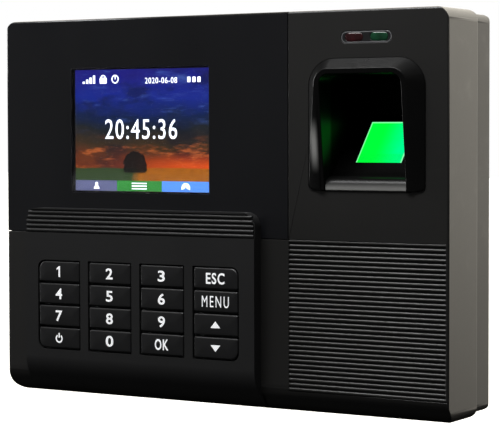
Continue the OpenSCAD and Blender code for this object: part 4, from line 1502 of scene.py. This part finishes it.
@dataclass
class Electronics:
    """Fine parts on the boards and in the sockets.

    The first chip is placed from the lower left of the board and from the shield's front, and the
    first contact from the middle and the lower front edge of the socket.
    """

    chip: Triple = (1.6, 0.6, 0.85)
    chip_edge: float = 0.12
    chip_first: Triple = (44, 0.31, 52)
    chip_pitch: Point = (3.1, 2.3)
    chip_counts: tuple[int, int] = (9, 3)
    contact: Triple = (0.5, 0.35, 5.2)
    contact_edge: float = 0.1
    contact_count: int = 8
    contact_pitch: float = 1.02
    contact_place: Point = (3.3, 6.4)

    def build(self, copies: Tree) -> None:
        """Adds the small chips of the main board and the spring contacts of the network socket.

        Args:
            copies: the tree that copies a pattern to points.
        """
        board = Extent.of("main_pcb")
        back = Extent.of("processor_shield").low.y
        (x, y, z), (dx, dz), (columns, rows) = self.chip_first, self.chip_pitch, self.chip_counts
        spots = [(board.low.x + x + i * dx, back + y, board.low.z + z + j * dz)
                 for i in range(columns) for j in range(rows)]
        self._copy(copies, "board_chips", "pattern_chip", self.chip, self.chip_edge, spots, RESIN, Slot.CHIP)
        jack = Extent.of("network_jack")
        middle = (self.contact_count - 1) / 2
        line = [(jack.mid.x + (i - middle) * self.contact_pitch, jack.low.y + self.contact_place[0],
                 jack.low.z + self.contact_place[1]) for i in range(self.contact_count)]
        self._copy(copies, "network_contacts", "pattern_spring", self.contact, self.contact_edge, line, GOLD,
                   Slot.TIN)

    @staticmethod
    def _copy(copies: Tree, name: str, title: str, size: Triple, edge: float, spots: Sequence[Triple],
              finish: Finish, slot: Slot) -> None:
        """Adds copies of a small block with broken edges.

        Args:
            copies: the tree that copies a pattern to points.
            name: the piece's name.
            title: the pattern's name, which is removed again.
            size: lengths of the block in millimetres.
            edge: width of its broken edges.
            spots: middles of the copies in millimetres.
            finish: their finish.
            slot: the record's slot for them.
        """
        work = bmesh.new()
        bmesh.ops.create_cube(work, size=1.0, matrix=Matrix.Diagonal((*(side * MM for side in size), 1.0)))
        bmesh.ops.bevel(work, geom=list(work.edges), offset=edge * MM, segments=1, affect="EDGES")
        pattern = from_bmesh(title, work)
        points = [tuple(length * MM for length in spot) for spot in spots]
        add(copies.make(name, finish, {"Pattern": pattern}, points), finish, slot)
        bpy.data.objects.remove(pattern)


# ---------------- studio


@dataclass
class Studio:
    """Camera, floor, sky and lamps."""

    lens: float = 143.2
    yaw: float = 31.53
    pitch: float = 2.476
    roll: float = -0.131
    distance: float = 679.3
    target: Triple = (15.1, 0.0, -0.26)
    floor_drop: float = 260.0
    floor_half: float = 12000.0
    lamps_aim: Triple = (0, -36, 0)
    front_light: float = 0.09
    back_light: float = 3.1
    back_tint: Colour = (1.0, 0.94, 0.82)
    over_light: float = 0.15

    def build(self) -> None:
        """Sets the camera, the sky, the floor and the lamps."""
        scene = bpy.context.scene
        scene.view_settings.view_transform = "Standard"
        self._camera(scene)
        self._sky(scene)
        self._floor()
        self._lamp("top_softbox", (-40, -330, 600), (620, 200), 7.0)
        self._lamp("left_softbox", (-640, -60, 120), (120, 420), 2.6)

    def _camera(self, scene: bpy.types.Scene) -> None:
        """Puts the camera on its sight line.

        Args:
            scene: the scene that it looks at.
        """
        yaw, pitch = math.radians(self.yaw), math.radians(self.pitch)
        back = Vector((math.sin(yaw) * math.cos(pitch), -math.cos(yaw) * math.cos(pitch), math.sin(pitch)))
        aim = Vector((self.target[0], FRONT + self.target[1], self.target[2]))
        data = bpy.data.cameras.new("camera")
        data.lens = self.lens
        data.sensor_width = 36.0
        data.clip_start = 0.02
        camera = new_object("camera", data)
        roll = Matrix.Rotation(math.radians(self.roll), 4, "Z")
        turn = (-back).to_track_quat("-Z", "Y").to_matrix().to_4x4() @ roll
        camera.matrix_world = Matrix.Translation((aim + back * self.distance) * MM) @ turn
        scene.camera = camera

    def _sky(self, scene: bpy.types.Scene) -> None:
        """Gives the world a pale look, with more light from behind the terminal than from before it.

        Args:
            scene: the scene whose world it is.
        """
        world = bpy.data.worlds.new("studio")
        world.use_nodes = True
        scene.world = world
        graph = Graph(world.node_tree)
        way = graph.node("ShaderNodeTexCoord", out="Generated")
        ahead = graph.node("ShaderNodeSeparateXYZ", None, {0: way}, "Y")
        up = graph.node("ShaderNodeSeparateXYZ", None, {0: way}, "Z")
        behind = ahead.step(-0.1, 0.6)
        level = behind * (up.step(-0.4, 0.3) * self.back_light - self.front_light) + self.front_light
        level = (level + up.step(0.3, 1.0) * self.over_light) * (up.step(-0.35, 0.0) * 0.65 + 0.35)
        seen = graph.node("ShaderNodeLightPath", out="Is Camera Ray")
        strength = seen * 1.0 + (1 - seen) * level
        tint = graph.mix((1.0, 1.0, 1.0), self.back_tint, behind * (1 - seen))
        back = graph.node("ShaderNodeBackground", None, {"Color": tint, "Strength": strength})
        graph.node("ShaderNodeOutputWorld", None, {"Surface": back})

    def _floor(self) -> None:
        """Lays a wide pale floor well below the terminal."""
        z, half = CAD_BOX[0].z - self.floor_drop * MM, self.floor_half * MM
        mesh = bpy.data.meshes.new("floor")
        corners = [(x, y, z) for x, y in plain_rect(-half, -half, 2 * half, 2 * half)]
        mesh.from_pydata(corners, [], [(0, 1, 2, 3)])
        floor = new_object("floor", mesh)
        mesh.materials.append(PaleFloor("floor_pale").material())
        floor.visible_glossy = False
        floor.visible_diffuse = False

    def _lamp(self, name: str, place: Triple, size: Point, power: float) -> None:
        """Hangs one softbox.

        Args:
            name: its name.
            place: where it is, in millimetres.
            size: its width and height.
            power: its power in watts.
        """
        data = bpy.data.lights.new(name, "AREA")
        data.shape = "RECTANGLE"
        data.size, data.size_y = size[0] * MM, size[1] * MM
        data.energy = power
        lamp = new_object(name, data)
        lamp.location = Vector(place) * MM
        lamp.rotation_mode = "QUATERNION"
        lamp.rotation_quaternion = (Vector(self.lamps_aim) - Vector(place)).to_track_quat("-Z", "Y")


def dress_nodes() -> None:
    """Gives each CAD node that is shown as it is its finish."""
    for finish, nodes in NODE_FINISHES.items():
        for node in nodes:
            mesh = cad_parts[node].data
            mesh.materials.clear()
            mesh.materials.append(finish.material())
            LOG.info("%s: dressed as %s", node, finish.name)


def main() -> None:
    logging.basicConfig(level=logging.INFO, format="%(name)s %(message)s")
    Studio().build()
    dress_nodes()
    ribs, copies = Patterns.ribs(), Patterns.copies()
    Housing().build(ribs)
    DisplayUnit().build()
    KeyPanel().build(ribs)
    FingerWell().build()
    StatusLights().build()
    Electronics().build(copies)


if __name__ == "__main__":
    main()
